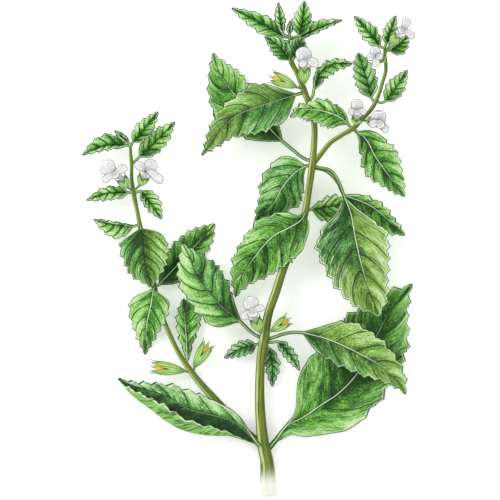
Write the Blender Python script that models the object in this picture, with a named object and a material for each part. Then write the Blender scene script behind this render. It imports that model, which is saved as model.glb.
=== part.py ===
"""Lemon balm sprig with flowers, cut and laid down on a flat surface.

The sprig lies along +Y with its cut end at the origin, and +Z points up from the surface. Every
place and size below is in millimetres, and every share is a fraction of a length or a radius. Each
leaf is one closed body: its petiole starts inside its stem and is cut back to leave a small gap,
and its blade follows a midrib with a half width, a slope and a row of teeth on each side.
"""
import math
from dataclasses import dataclass

import bpy
import numpy as np

MM = 0.001
GAP = 0.3
SHORTEST_LEG = 0.4
LOOK_AHEAD = 0.3

# Blades: their thickness, the keel under the midrib, and how they come down to the surface
BLADE_THICKNESS = 0.66
KEEL_DEPTH = 0.45
BLADE_FLOOR = 0.34
FLOOR_SOFTNESS = 0.5
RELIEF = 0.3
RELIEF_SHARE = 0.3
ROOF_REACH = 4.0
ROOF_LEAST = 0.3

# Blades: the places of the half widths along them, and the slant of their rows
WIDTH_STATIONS = (0.0, 0.1, 0.3, 0.5, 0.7, 0.9, 1.0)
TIP_HALF_WIDTH = 0.3
MARGIN_SLANT = 0.1
SLANT_SPREAD = 1.2
SLANT_FADE = 0.8
SLOPE_STEP = 0.01

# Teeth: where each has its point, how far it stands in, and the half width at which it is whole
TOOTH_PEAK = 0.65
TOOTH_RISE = 0.8
TOOTH_FALL = 1.2
TOOTH_INSET = 0.75
TOOTH_BAND = 0.25
FULL_TOOTH_WIDTH = 3.0
LEAST_TOOTH = 0.15

# Places across a blade, from -1 at the left margin to 1 at the right one
NARROW_COLUMNS = (-1.0, 0.0, 1.0)
WIDE_COLUMNS = (-1.0, -0.5, 0.0, 0.5, 1.0)
CURLED_COLUMNS = (-1.0, -0.8, -0.62, -0.3, 0.0, 0.5, 1.0)

# A margin that curls up and comes back over the blade
CURL_START = 0.62
CURL_TURN = 0.48
CURL_EDGE = 0.5
CURL_TOOTH = 0.45
CURL_FADE = 0.7
CURL_HEIGHT = 2.4

# Petioles: the angles of a ring's outermost points, in degrees
PETIOLE_SPREAD = (165.0, 15.0)

# Stems: a square with bevelled corners, as shares of the radius across and up
STEM_OUTLINE = (
    (1, 0.55), (0.55, 1), (-0.55, 1), (-1, 0.55), (-1, -0.55), (-0.55, -1), (0.55, -1), (1, -0.55),
)

# Calyces: a stalk, a bell given by place along and share of the radius, and teeth round a mouth
STALK_RADIUS = 0.65
STALK_RING = 0.6
STALK_FLARE = 1.3
CALYX_WALL = 0.65
CALYX_SIDES = 10
CALYX_BELL = ((0.14, 0.74), (0.36, 1.0), (0.6, 1.0))
CALYX_FLOOR = 0.45
CALYX_NOTCH = 0.72
NOTCH_FLARE = 1.02
TOOTH_FLARE = 1.25
RIM_DROP = 0.1
CALYX_SLACK = 0.15

# Corollas: a tube that bends up to a lobed face
COROLLA_SIDES = 18
COROLLA_WALL = 0.62
TUBE_START = 0.9
TUBE_BEND = 0.86
FACE_LEAN = 0.4
FACE_RISE = 0.22
FACE_DROOP = 0.03
COROLLA_THROAT = 1.25
THROAT_LIP = 0.9
THROAT_DEPTH = 0.9
THROAT_FLOOR = 0.55
INNER_FACE = 0.5
INNER_RISE = 0.15
INNER_FALL = 0.35

# Nutlets: one lumpy core, given by share of its height and share of its radius
NUTLET_SIDES = 8
NUTLET_HEIGHT = 0.33
NUTLET_LUMP = 0.12
NUTLET_RINGS = ((0.0, 0.45), (0.2, 0.95), (0.6, 1.0), (0.9, 0.75), (1.0, 0.3))

# Buds: round, with rings at these heights in degrees
BUD_SIDES = 8
BUD_TILTS = (-75, -45, 0, 45, 75)

# Stem axes: x, y, z and radius
MAIN_STEM = (
    (1.0, -8.0, 4.3, 4.3), (0.4, 0.0, 4.0, 4.0), (0.0, 8.0, 3.4, 3.4), (-1.5, 15.5, 3.6, 3.1),
    (-3.0, 29.0, 5.2, 2.65), (-3.5, 43.0, 7.0, 2.4), (-3.0, 56.5, 8.8, 2.3), (-1.5, 67.0, 10.2, 2.6),
    (0.5, 79.0, 11.8, 2.2), (4.5, 91.0, 13.4, 2.2), (8.0, 102.0, 14.8, 2.1), (13.0, 113.0, 16.2, 1.9),
    (18.0, 127.5, 18.0, 1.8), (20.0, 139.0, 19.2, 1.6), (21.5, 150.5, 20.2, 1.8),
    (22.5, 161.0, 21.0, 1.55), (22.5, 171.0, 21.8, 1.5), (20.0, 180.0, 22.5, 1.45),
    (17.5, 187.0, 23.0, 1.6), (14.5, 194.5, 23.5, 1.3), (11.5, 200.5, 24.0, 1.3),
    (11.0, 208.5, 24.6, 1.05),
)
LEFT_SHOOT = (
    (-1.0, 15.0, 3.6, 2.0), (-6.0, 19.2, 3.1, 2.0), (-10.5, 23.0, 2.8, 1.9), (-20.0, 33.0, 2.6, 1.9),
    (-27.5, 41.0, 2.9, 1.9), (-32.0, 46.0, 3.4, 1.75), (-37.0, 52.5, 4.3, 1.5),
    (-42.0, 60.0, 5.2, 1.25), (-46.5, 69.0, 6.0, 1.2), (-50.5, 79.0, 6.8, 1.2), (-53.5, 90.0, 7.8, 1.3),
    (-56.0, 102.0, 8.8, 1.1), (-59.0, 112.5, 9.6, 1.05), (-61.0, 122.0, 10.3, 1.2),
    (-62.5, 130.0, 11.0, 1.0), (-64.0, 137.5, 11.6, 1.2), (-65.0, 145.0, 12.2, 0.95),
    (-65.0, 152.0, 12.8, 0.95), (-65.5, 158.0, 13.3, 0.8),
)
RIGHT_SHOOT = (
    (22.0, 151.5, 20.3, 1.4), (25.5, 156.0, 21.0, 1.35), (30.0, 161.5, 22.0, 1.25),
    (36.0, 165.5, 23.0, 1.15), (41.0, 168.5, 24.0, 1.3), (45.5, 173.0, 24.8, 1.05),
    (50.0, 178.0, 25.6, 1.1), (53.0, 184.0, 26.2, 1.0), (55.0, 190.5, 26.8, 0.95),
    (56.5, 196.0, 27.2, 0.95), (56.4, 200.0, 27.5, 0.95), (56.0, 204.0, 27.8, 0.8),
)

# Colours of the plain materials
LEAF_GREEN = (0.10, 0.30, 0.045)
DARK_LEAF_GREEN = (0.045, 0.20, 0.05)
YOUNG_LEAF_GREEN = (0.16, 0.38, 0.07)
STEM_GREEN = (0.23, 0.30, 0.05)
CALYX_GREEN = (0.42, 0.60, 0.22)
PETAL_WHITE = (0.86, 0.85, 0.86)
NUTLET_YELLOW = (0.75, 0.50, 0.05)


@dataclass(frozen=True)
class Leaf:
    """One leaf. Its path runs from the stem's axis to the tip, and the blade starts at point base of it."""

    name: str
    stem: str
    path: tuple
    base: int
    left: tuple
    right: tuple
    teeth: int
    left_slope: float = -0.2
    right_slope: float = -0.2
    tooth_depth: float = 1.5
    petiole: float = 0.85
    columns: tuple = WIDE_COLUMNS
    curl: float = 0.0
    rests: bool = False
    colour: tuple = LEAF_GREEN


@dataclass(frozen=True)
class Flower:
    """One calyx on its stalk, holding a white corolla or ripe nutlets.

    The corolla's lobes lie round the middle of its face. Each is a disc: its angle in plan from +X
    in degrees, its distance from the middle and its radius. A calyx without lobes holds nutlets.
    """

    name: str
    stem: str
    root: tuple
    base: tuple
    tip: tuple
    radius: float
    face: tuple = ()
    lobes: tuple = ()


LEAVES = (
    Leaf(
        "basal_leaf_left", "main_stem",
        path=((-1.6, 14.6, 4.6), (-5.0, 18.0, 7.9), (-16.4, 28.3, 9.3), (-27.4, 31.4, 8.8),
              (-37.0, 33.8, 7.4), (-48.5, 39.8, 5.2), (-65.8, 45.4, 1.7), (-71.9, 48.5, 0.5)),
        base=1, left=(5.6, 9.8, 10.6, 9.2, 3.8), right=(1.8, 6.2, 9.0, 6.0, 2.4), teeth=10,
        left_slope=-0.05, right_slope=-0.1, columns=CURLED_COLUMNS, curl=5.0, rests=True,
        colour=DARK_LEAF_GREEN,
    ),
    Leaf(
        "basal_leaf_right", "main_stem",
        path=((0.4, 14.0, 3.4), (4.5, 19.0, 4.4), (10.1, 25.9, 5.2), (16.8, 29.3, 5.8),
              (25.9, 35.5, 6.4), (33.9, 40.8, 6.6), (41.3, 48.0, 6.2), (54.2, 71.2, 4.0),
              (60.5, 82.4, 2.4), (70.3, 94.1, 0.4)),
        base=1, left=(1.6, 20.4, 21.8, 18.4, 7.4), right=(6.6, 16.8, 17.2, 17.0, 7.0), teeth=12,
        left_slope=-0.06, right_slope=-0.28, tooth_depth=2.2, petiole=1.3, rests=True,
    ),
    Leaf(
        "middle_leaf_right", "main_stem",
        path=((-0.8, 67.4, 9.8), (2.0, 68.0, 10.9), (5.5, 69.3, 12.4), (10.6, 70.7, 14.4),
              (17.5, 70.7, 16.0), (28.3, 67.8, 17.6), (38.4, 63.6, 17.6), (46.3, 59.5, 16.4),
              (55.2, 54.2, 14.0), (65.0, 44.2, 9.5), (66.7, 40.9, 8.2)),
        base=4, left=(4.2, 12.2, 12.4, 9.4, 4.2), right=(5.8, 10.0, 9.8, 7.6, 3.2), teeth=9,
        left_slope=-0.18, right_slope=-0.3,
    ),
    Leaf(
        "middle_leaf_left", "main_stem",
        path=((-1.9, 67.6, 10.4), (-6.6, 70.3, 12.0), (-13.0, 76.3, 14.0), (-22.1, 84.0, 15.6),
              (-27.0, 89.3, 15.8), (-32.2, 95.5, 15.4), (-35.0, 101.0, 14.6), (-37.2, 107.0, 13.2),
              (-40.8, 113.9, 11.2)),
        base=2, left=(7.6, 11.4, 10.8, 9.2, 4.4), right=(3.6, 9.2, 11.6, 10.6, 3.2), teeth=9,
        left_slope=-0.22, right_slope=-0.25,
    ),
    Leaf(
        "small_leaf_left", "main_stem",
        path=((-1.8, 66.0, 9.6), (-5.4, 64.9, 8.4), (-12.5, 62.9, 7.2), (-20.6, 58.4, 4.6)),
        base=1, left=(3.0, 4.2, 4.0, 3.0, 1.5), right=(2.6, 4.0, 3.8, 3.0, 1.4), teeth=5,
        left_slope=-0.3, right_slope=0.1, tooth_depth=1.1, petiole=0.7, columns=NARROW_COLUMNS,
        colour=DARK_LEAF_GREEN,
    ),
    Leaf(
        "small_leaf_centre", "main_stem",
        path=((-1.4, 64.6, 9.0), (1.1, 63.2, 7.0), (2.4, 57.0, 5.6), (2.6, 44.6, 4.2)),
        base=1, left=(2.2, 3.8, 3.8, 3.0, 1.4), right=(2.2, 3.8, 3.8, 3.0, 1.4), teeth=5,
        left_slope=-0.2, right_slope=-0.35, tooth_depth=1.1, petiole=0.7, columns=NARROW_COLUMNS,
        colour=DARK_LEAF_GREEN,
    ),
    Leaf(
        "small_leaf_right", "main_stem",
        path=((-1.0, 65.9, 9.4), (2.4, 66.0, 9.3), (5.4, 66.3, 9.8), (9.8, 61.5, 10.4),
              (15.8, 52.5, 8.8)),
        base=2, left=(2.4, 3.2, 3.2, 2.6, 1.3), right=(2.0, 3.0, 3.0, 2.4, 1.2), teeth=5,
        left_slope=-0.1, right_slope=-0.2, tooth_depth=1.0, petiole=0.7, columns=NARROW_COLUMNS,
        colour=DARK_LEAF_GREEN,
    ),
    Leaf(
        "upper_leaf_left", "main_stem",
        path=((18.1, 128.0, 18.2), (17.6, 127.3, 20.8), (16.6, 125.4, 22.2), (11.2, 121.6, 23.2),
              (3.4, 117.6, 22.8), (-4.8, 108.7, 19.8), (-13.0, 95.5, 12.2), (-15.2, 87.8, 7.6)),
        base=1, left=(9.0, 15.6, 14.4, 10.4, 3.8), right=(5.8, 10.4, 10.2, 8.6, 3.6), teeth=9,
        left_slope=-0.14, right_slope=-0.22,
    ),
    Leaf(
        "upper_leaf_right", "main_stem",
        path=((18.4, 129.0, 18.2), (21.4, 130.0, 16.8), (30.0, 131.3, 14.8), (40.8, 132.6, 12.4)),
        base=1, left=(2.2, 4.6, 5.6, 5.0, 2.4), right=(4.4, 7.6, 7.0, 5.0, 2.4), teeth=5,
        left_slope=-0.1, right_slope=-0.3, tooth_depth=1.4, petiole=0.75, columns=NARROW_COLUMNS,
    ),
    Leaf(
        "fork_leaf_left_front", "main_stem",
        path=((21.3, 150.4, 20.0), (18.4, 150.6, 18.9), (15.6, 149.2, 18.6), (7.4, 140.8, 16.6),
              (2.9, 132.8, 13.6), (-2.9, 127.4, 10.8), (-5.8, 123.8, 8.8)),
        base=1, left=(4.8, 10.4, 12.0, 6.8, 2.6), right=(7.6, 11.4, 10.6, 8.2, 3.0), teeth=8,
        left_slope=-0.34, right_slope=0.02,
    ),
    Leaf(
        "fork_leaf_left_back", "main_stem",
        path=((21.6, 152.8, 20.2), (17.4, 154.4, 16.6), (12.0, 158.8, 13.0), (7.0, 163.0, 10.6),
              (-2.4, 172.8, 8.4), (-15.8, 185.8, 5.4), (-18.7, 189.6, 4.5), (-22.0, 194.4, 3.2),
              (-25.0, 201.1, 1.4), (-25.9, 205.6, 0.4)),
        base=3, left=(6.5, 14.0, 15.4, 11.0, 3.4), right=(4.0, 7.8, 8.4, 8.8, 4.6), teeth=10,
        left_slope=-0.1, right_slope=-0.15, rests=True,
    ),
    Leaf(
        "fork_leaf_right_front", "main_stem",
        path=((21.8, 150.7, 20.2), (24.9, 149.7, 20.7), (30.2, 148.4, 21.9), (34.0, 143.2, 23.0),
              (37.0, 135.1, 23.8), (39.4, 129.1, 24.0), (41.6, 118.0, 23.4), (44.4, 105.4, 21.0),
              (47.5, 95.0, 17.4), (52.6, 82.1, 11.4), (53.9, 78.2, 9.2)),
        base=4, left=(3.6, 15.2, 15.2, 11.6, 6.6), right=(7.5, 18.8, 18.0, 14.2, 7.2), teeth=10,
        left_slope=-0.26, right_slope=-0.24, tooth_depth=1.8,
    ),
    Leaf(
        "fork_leaf_right_back", "main_stem",
        path=((21.8, 149.6, 19.4), (27.2, 147.4, 17.2), (33.0, 142.2, 17.2), (36.6, 136.6, 17.4),
              (49.4, 131.5, 17.4), (59.0, 123.8, 14.6), (66.2, 117.4, 10.2)),
        base=3, left=(2.2, 4.2, 4.8, 3.6, 2.0), right=(3.0, 6.6, 8.0, 6.4, 3.4), teeth=7,
        left_slope=-0.1, right_slope=-0.35,
    ),
    Leaf(
        "crown_leaf_left", "main_stem",
        path=((17.8, 185.8, 23.0), (15.6, 185.0, 24.8), (13.4, 184.4, 25.4), (2.2, 181.0, 26.4),
              (-6.7, 178.1, 26.0), (-14.9, 174.5, 24.4), (-19.9, 170.4, 22.0), (-27.4, 160.5, 15.8),
              (-31.4, 155.7, 12.2)),
        base=2, left=(8.2, 12.6, 11.8, 7.6, 2.8), right=(4.8, 11.4, 8.8, 6.6, 3.0), teeth=10,
        left_slope=-0.42, right_slope=-0.34,
    ),
    Leaf(
        "crown_leaf_right", "main_stem",
        path=((19.6, 181.6, 22.5), (21.4, 183.2, 22.8), (22.4, 187.2, 23.4), (25.4, 194.9, 24.8),
              (31.7, 199.2, 24.4), (40.8, 199.4, 20.8)),
        base=2, left=(1.4, 2.6, 2.8, 2.6, 1.6), right=(2.4, 4.2, 4.6, 4.0, 2.1), teeth=6,
        left_slope=-0.1, right_slope=-0.3, tooth_depth=1.2, petiole=0.75, columns=NARROW_COLUMNS,
    ),
    Leaf(
        "crown_bract_left", "main_stem",
        path=((11.9, 199.2, 23.9), (10.4, 201.2, 25.4), (6.2, 206.9, 26.8), (-1.2, 212.4, 25.8)),
        base=1, left=(2.4, 3.8, 3.8, 3.0, 1.4), right=(2.4, 3.8, 3.8, 3.0, 1.4), teeth=5,
        left_slope=-0.3, right_slope=-0.1, tooth_depth=1.0, petiole=0.7, columns=NARROW_COLUMNS,
        colour=YOUNG_LEAF_GREEN,
    ),
    Leaf(
        "crown_bract_right", "main_stem",
        path=((12.0, 200.8, 24.0), (12.9, 202.4, 27.0), (14.3, 206.4, 29.8), (16.8, 212.0, 30.0)),
        base=1, left=(3.0, 4.6, 4.6, 3.6, 1.6), right=(3.0, 4.6, 4.6, 3.6, 1.6), teeth=5,
        left_slope=-0.2, right_slope=-0.3, tooth_depth=1.1, petiole=0.7, columns=NARROW_COLUMNS,
        colour=YOUNG_LEAF_GREEN,
    ),
    Leaf(
        "right_shoot_leaf_left", "right_shoot",
        path=((40.3, 168.2, 23.9), (38.4, 170.6, 25.8), (36.2, 172.8, 27.0), (30.2, 175.7, 28.0),
              (22.6, 177.4, 27.8), (14.9, 177.2, 26.2), (11.0, 173.8, 24.6)),
        base=1, left=(4.6, 7.6, 6.8, 6.0, 3.6), right=(2.6, 5.2, 5.8, 3.4, 1.6), teeth=8,
        left_slope=-0.2, right_slope=-0.3, tooth_depth=1.3, petiole=0.75,
    ),
    Leaf(
        "right_shoot_leaf_right", "right_shoot",
        path=((41.2, 168.4, 24.0), (43.2, 166.4, 23.8), (46.1, 164.2, 24.2), (51.6, 155.0, 21.6),
              (57.6, 146.9, 15.2), (61.9, 141.6, 8.2), (66.4, 136.2, 0.4)),
        base=1, left=(4.8, 9.6, 10.6, 7.6, 3.6), right=(3.6, 6.6, 9.0, 6.0, 2.8), teeth=9,
        left_slope=-0.28, right_slope=-0.2, rests=True,
    ),
    Leaf(
        "right_shoot_bract_left", "right_shoot",
        path=((51.3, 180.6, 25.8), (49.6, 183.0, 26.8), (46.6, 194.0, 27.8), (43.4, 204.5, 24.4)),
        base=1, left=(3.4, 5.6, 5.6, 4.8, 2.8), right=(3.2, 5.4, 5.4, 4.6, 2.6), teeth=6,
        left_slope=-0.3, right_slope=-0.1, tooth_depth=1.2, petiole=0.7, columns=NARROW_COLUMNS,
    ),
    Leaf(
        "right_shoot_bract_right", "right_shoot",
        path=((51.8, 181.6, 26.0), (54.4, 180.6, 26.0), (56.4, 181.4, 26.2), (61.5, 188.0, 26.6),
              (66.9, 196.3, 22.4)),
        base=2, left=(2.8, 4.6, 4.8, 3.6, 1.6), right=(2.8, 4.4, 4.4, 3.4, 1.6), teeth=6,
        left_slope=-0.1, right_slope=-0.3, tooth_depth=1.1, petiole=0.7, columns=NARROW_COLUMNS,
    ),
    Leaf(
        "left_shoot_leaf_low", "left_shoot",
        path=((-39.9, 56.9, 4.8), (-38.3, 57.6, 5.8), (-38.6, 66.0, 6.0), (-39.4, 76.0, 5.6),
              (-40.2, 87.0, 4.0)),
        base=1, left=(1.6, 3.6, 4.8, 4.4, 2.4), right=(1.8, 3.8, 7.0, 8.0, 4.0), teeth=6,
        left_slope=-0.1, right_slope=-0.1, tooth_depth=1.2, petiole=0.75,
    ),
    Leaf(
        "left_shoot_leaf_back", "left_shoot",
        path=((-53.6, 93.0, 8.0), (-51.6, 94.0, 6.2), (-38.4, 108.0, 3.4), (-25.2, 123.1, 0.4)),
        base=1, left=(4.0, 8.2, 9.0, 7.8, 3.8), right=(4.5, 7.5, 7.5, 6.4, 3.6), teeth=9,
        left_slope=-0.1, right_slope=-0.1, tooth_depth=1.4, petiole=0.8, rests=True,
    ),
    Leaf(
        "left_shoot_leaf_hanging", "left_shoot",
        path=((-54.2, 92.4, 8.1), (-54.8, 91.4, 10.6), (-55.5, 86.4, 12.4), (-58.0, 74.4, 9.6),
              (-58.8, 59.9, 0.4)),
        base=1, left=(7.0, 9.4, 8.6, 5.8, 2.4), right=(6.4, 10.4, 8.4, 5.2, 2.3), teeth=7,
        left_slope=-0.18, right_slope=-0.2, tooth_depth=1.5, petiole=0.8, rests=True,
    ),
    Leaf(
        "left_shoot_leaf_front", "left_shoot",
        path=((-60.9, 121.6, 10.3), (-60.7, 120.6, 13.2), (-59.4, 115.7, 15.0), (-59.0, 109.0, 16.0),
              (-57.8, 101.5, 16.0), (-55.4, 92.4, 14.2)),
        base=1, left=(6.6, 12.2, 11.8, 9.8, 4.2), right=(9.0, 12.0, 10.6, 9.0, 3.6), teeth=8,
        left_slope=-0.24, right_slope=-0.22, tooth_depth=1.6, petiole=0.75,
    ),
    Leaf(
        "left_shoot_leaf_side", "left_shoot",
        path=((-61.2, 122.6, 10.3), (-64.2, 121.8, 9.4), (-74.0, 122.6, 8.2), (-83.5, 125.1, 4.4)),
        base=1, left=(3.2, 6.4, 6.4, 4.6, 2.0), right=(0.9, 1.7, 1.9, 1.6, 0.9), teeth=5,
        left_slope=-0.2, right_slope=-0.1, tooth_depth=1.1, petiole=0.7, columns=NARROW_COLUMNS,
    ),
    Leaf(
        "left_shoot_bract_right", "left_shoot",
        path=((-64.0, 137.2, 11.6), (-61.8, 138.4, 12.0), (-60.2, 138.6, 12.2), (-56.0, 133.0, 12.2),
              (-50.6, 125.3, 9.0)),
        base=2, left=(3.2, 5.0, 5.0, 3.8, 1.8), right=(2.4, 3.4, 3.4, 2.8, 1.4), teeth=5,
        left_slope=-0.2, right_slope=-0.3, tooth_depth=1.1, petiole=0.7, columns=NARROW_COLUMNS,
    ),
    Leaf(
        "left_shoot_bract_left", "left_shoot",
        path=((-64.2, 137.8, 11.6), (-66.8, 138.0, 10.9), (-76.5, 137.6, 9.8), (-86.9, 134.4, 5.8)),
        base=1, left=(2.4, 3.6, 3.6, 2.8, 1.3), right=(2.4, 3.6, 3.6, 2.8, 1.3), teeth=5,
        left_slope=-0.3, right_slope=-0.1, tooth_depth=1.0, petiole=0.7, columns=NARROW_COLUMNS,
    ),
    Leaf(
        "left_shoot_bract_top", "left_shoot",
        path=((-65.1, 151.6, 12.8), (-62.8, 153.6, 12.2), (-61.1, 155.3, 12.0), (-53.0, 163.0, 12.0),
              (-44.2, 172.0, 9.0)),
        base=2, left=(3.2, 5.0, 5.0, 4.0, 1.8), right=(3.2, 5.0, 5.0, 4.0, 1.8), teeth=6,
        left_slope=-0.1, right_slope=-0.3, tooth_depth=1.2, petiole=0.7, columns=NARROW_COLUMNS,
    ),
)

# Young leaves at the three shoot tips, joined to one bud each: name, centre, radius, stem and leaves
TIP_BUDS = (
    ("crown_tip_leaves", (11.0, 211.4, 24.9), 1.7, "main_stem", (
        Leaf(
            "far_left", "",
            path=((10.6, 211.6, 24.9), (5.8, 212.9, 24.6), (-3.4, 218.9, 23.0), (-17.0, 226.4, 15.0)),
            base=1, left=(2.8, 4.6, 4.4, 3.4, 1.5), right=(2.8, 4.6, 4.4, 3.4, 1.5), teeth=5,
            left_slope=-0.2, right_slope=-0.3, tooth_depth=1.0, petiole=0.7, columns=NARROW_COLUMNS,
        ),
        Leaf(
            "upright_left", "",
            path=((10.8, 211.8, 25.2), (7.4, 213.6, 26.2), (6.2, 220.0, 27.0), (5.3, 228.5, 24.2)),
            base=1, left=(1.4, 2.6, 2.8, 2.2, 1.0), right=(1.4, 2.6, 2.8, 2.2, 1.0), teeth=5,
            left_slope=0.6, right_slope=0.3, tooth_depth=0.8, petiole=0.7, columns=NARROW_COLUMNS,
        ),
        Leaf(
            "upright_right", "",
            path=((11.4, 211.6, 25.2), (15.5, 212.7, 24.8), (16.8, 219.5, 25.6), (17.8, 229.4, 22.8)),
            base=1, left=(3.0, 5.0, 4.8, 3.6, 1.6), right=(3.0, 5.0, 4.8, 3.6, 1.6), teeth=5,
            left_slope=-0.3, right_slope=-0.1, tooth_depth=1.0, petiole=0.7, columns=NARROW_COLUMNS,
        ),
        Leaf(
            "far_right", "",
            path=((11.6, 211.0, 24.8), (17.5, 210.4, 23.8), (26.0, 217.0, 22.0), (36.0, 220.6, 15.0)),
            base=1, left=(2.2, 3.8, 4.0, 3.0, 1.4), right=(1.2, 1.8, 2.0, 1.6, 0.9), teeth=5,
            left_slope=-0.2, right_slope=-0.2, tooth_depth=0.9, petiole=0.7, columns=NARROW_COLUMNS,
        ),
        Leaf(
            "bud", "",
            path=((11.0, 211.6, 25.4), (10.6, 213.6, 27.0), (11.0, 219.6, 30.0)),
            base=1, left=(1.2, 1.8, 1.6, 1.2, 0.6), right=(1.2, 1.8, 1.6, 1.2, 0.6), teeth=3,
            left_slope=0.3, right_slope=0.3, tooth_depth=0.4, petiole=0.7, columns=NARROW_COLUMNS,
        ),
    )),
    ("right_shoot_tip_leaves", (55.9, 206.4, 28.1), 1.3, "right_shoot", (
        Leaf(
            "left", "",
            path=((55.8, 206.4, 28.1), (53.6, 207.4, 28.2), (48.5, 214.0, 27.8), (41.6, 222.0, 23.0)),
            base=1, left=(2.6, 4.0, 4.2, 3.2, 1.5), right=(2.6, 4.0, 4.2, 3.2, 1.5), teeth=5,
            left_slope=-0.3, right_slope=-0.1, tooth_depth=1.0, petiole=0.7, columns=NARROW_COLUMNS,
        ),
        Leaf(
            "upright", "",
            path=((56.0, 206.6, 28.2), (56.6, 208.6, 28.6), (58.6, 214.8, 28.6), (61.3, 222.2, 25.0)),
            base=1, left=(2.2, 3.4, 3.4, 2.6, 1.2), right=(2.2, 3.4, 3.4, 2.6, 1.2), teeth=5,
            left_slope=-0.2, right_slope=-0.2, tooth_depth=0.9, petiole=0.7, columns=NARROW_COLUMNS,
        ),
        Leaf(
            "right", "",
            path=((56.2, 206.2, 28.0), (58.2, 205.4, 27.6), (62.6, 208.0, 26.4), (67.2, 213.3, 22.6)),
            base=1, left=(1.3, 2.1, 2.3, 1.9, 1.0), right=(2.8, 4.8, 4.8, 3.8, 2.0), teeth=5,
            left_slope=-0.1, right_slope=-0.3, tooth_depth=1.0, petiole=0.7, columns=NARROW_COLUMNS,
        ),
    )),
    ("left_shoot_tip_leaves", (-65.6, 160.2, 13.6), 1.2, "left_shoot", (
        Leaf(
            "left", "",
            path=((-65.8, 160.3, 13.6), (-67.6, 160.7, 13.8), (-77.0, 160.6, 13.4),
                  (-88.8, 156.1, 8.6)),
            base=1, left=(1.6, 2.6, 2.7, 2.1, 1.0), right=(3.4, 5.4, 5.6, 4.2, 1.9), teeth=5,
            left_slope=-0.1, right_slope=-0.3, tooth_depth=1.1, petiole=0.7, columns=NARROW_COLUMNS,
        ),
        Leaf(
            "right", "",
            path=((-65.4, 160.4, 13.8), (-64.2, 162.2, 15.0), (-59.0, 168.2, 16.4),
                  (-52.2, 176.8, 13.4)),
            base=1, left=(2.8, 4.3, 4.3, 3.3, 1.5), right=(2.8, 4.3, 4.3, 3.3, 1.5), teeth=5,
            left_slope=-0.1, right_slope=-0.3, tooth_depth=1.0, petiole=0.7, columns=NARROW_COLUMNS,
        ),
        Leaf(
            "young", "",
            path=((-65.8, 160.6, 13.9), (-66.6, 162.2, 15.2), (-73.0, 167.6, 16.6)),
            base=1, left=(1.3, 1.8, 1.8, 1.4, 0.7), right=(1.3, 1.8, 1.8, 1.4, 0.7), teeth=3,
            left_slope=0.3, right_slope=0.3, tooth_depth=0.5, petiole=0.7, columns=NARROW_COLUMNS,
        ),
    )),
)

FLOWERS = (
    Flower(
        "middle_flower", "main_stem",
        root=(-1.2, 69.8, 10.6), base=(-3.2, 70.9, 13.4), tip=(-6.2, 78.6, 16.6), radius=2.7,
        face=(-6.9, 81.2, 19.4), lobes=((103, 4.2, 3.2), (217, 4.6, 2.2), (17, 4.4, 1.7)),
    ),
    Flower(
        "crown_flower", "main_stem",
        root=(17.2, 188.4, 23.1), base=(17.5, 189.6, 26.6), tip=(17.9, 198.4, 29.4), radius=2.7,
        face=(18.6, 200.8, 33.2), lobes=((106, 3.6, 3.4), (-26, 3.4, 2.6), (200, 2.4, 1.8)),
    ),
    Flower(
        "fork_flower_left", "right_shoot",
        root=(41.5, 168.9, 24.1), base=(42.3, 170.2, 27.4), tip=(42.7, 174.4, 31.0), radius=2.3,
        face=(42.7, 176.6, 33.4),
        lobes=((112, 3.4, 2.2), (62, 3.4, 2.2), (190, 2.2, 1.6), (-10, 2.2, 1.6)),
    ),
    Flower(
        "fork_flower_right", "right_shoot",
        root=(45.3, 172.6, 24.8), base=(47.2, 171.8, 27.4), tip=(50.6, 171.6, 30.0), radius=2.2,
        face=(52.9, 171.8, 32.4),
        lobes=((28, 3.4, 2.4), (-38, 4.6, 2.0), (-39, 6.4, 1.9), (150, 3.0, 2.1)),
    ),
    Flower(
        "right_shoot_flower_low", "right_shoot",
        root=(56.4, 199.4, 27.5), base=(55.9, 200.2, 30.4), tip=(53.6, 201.8, 32.8), radius=1.9,
        face=(51.8, 202.2, 34.6), lobes=((84, 2.8, 2.5), (254, 3.0, 2.1), (180, 2.0, 1.8)),
    ),
    Flower(
        "right_shoot_flower_top", "right_shoot",
        root=(56.1, 203.2, 27.8), base=(58.4, 208.4, 31.8), tip=(62.7, 213.0, 33.4), radius=2.2,
        face=(64.8, 215.0, 35.6), lobes=((70, 4.2, 3.0), (-35, 4.4, 2.3), (202, 2.2, 1.7)),
    ),
    Flower(
        "left_shoot_flower_left", "left_shoot",
        root=(-64.3, 138.8, 11.8), base=(-66.6, 140.2, 14.6), tip=(-70.4, 145.6, 17.4), radius=2.6,
        face=(-72.9, 147.0, 20.2), lobes=((135, 4.7, 3.8), (20, 4.8, 2.2), (225, 4.6, 2.1)),
    ),
    Flower(
        "left_shoot_flower_right", "left_shoot",
        root=(-64.1, 138.6, 11.8), base=(-61.0, 141.4, 15.2), tip=(-58.4, 146.6, 18.2), radius=2.6,
        face=(-57.6, 148.6, 21.0),
        lobes=((150, 4.4, 2.3), (52, 3.4, 3.1), (-38, 5.2, 2.2), (-40, 7.8, 2.2)),
    ),
    Flower(
        "crown_fruit", "main_stem",
        root=(17.0, 187.2, 23.4), base=(13.9, 188.0, 28.2), tip=(1.2, 193.2, 31.8), radius=2.9,
    ),
    Flower(
        "low_fruit_left", "left_shoot",
        root=(-35.8, 50.9, 4.1), base=(-39.6, 52.2, 6.2), tip=(-56.6, 54.4, 8.4), radius=3.0,
    ),
    Flower(
        "low_fruit_right", "left_shoot",
        root=(-35.4, 50.6, 4.1), base=(-35.0, 54.0, 6.8), tip=(-27.6, 66.4, 10.0), radius=3.0,
    ),
    Flower(
        "middle_fruit", "main_stem",
        root=(-0.6, 70.6, 10.8), base=(2.2, 71.6, 14.0), tip=(11.0, 77.6, 18.0), radius=2.7,
    ),
)


def clear_scene():
    """Remove every object of the open scene."""
    for obj in list(bpy.data.objects):
        bpy.data.objects.remove(obj, do_unlink=True)


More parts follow.
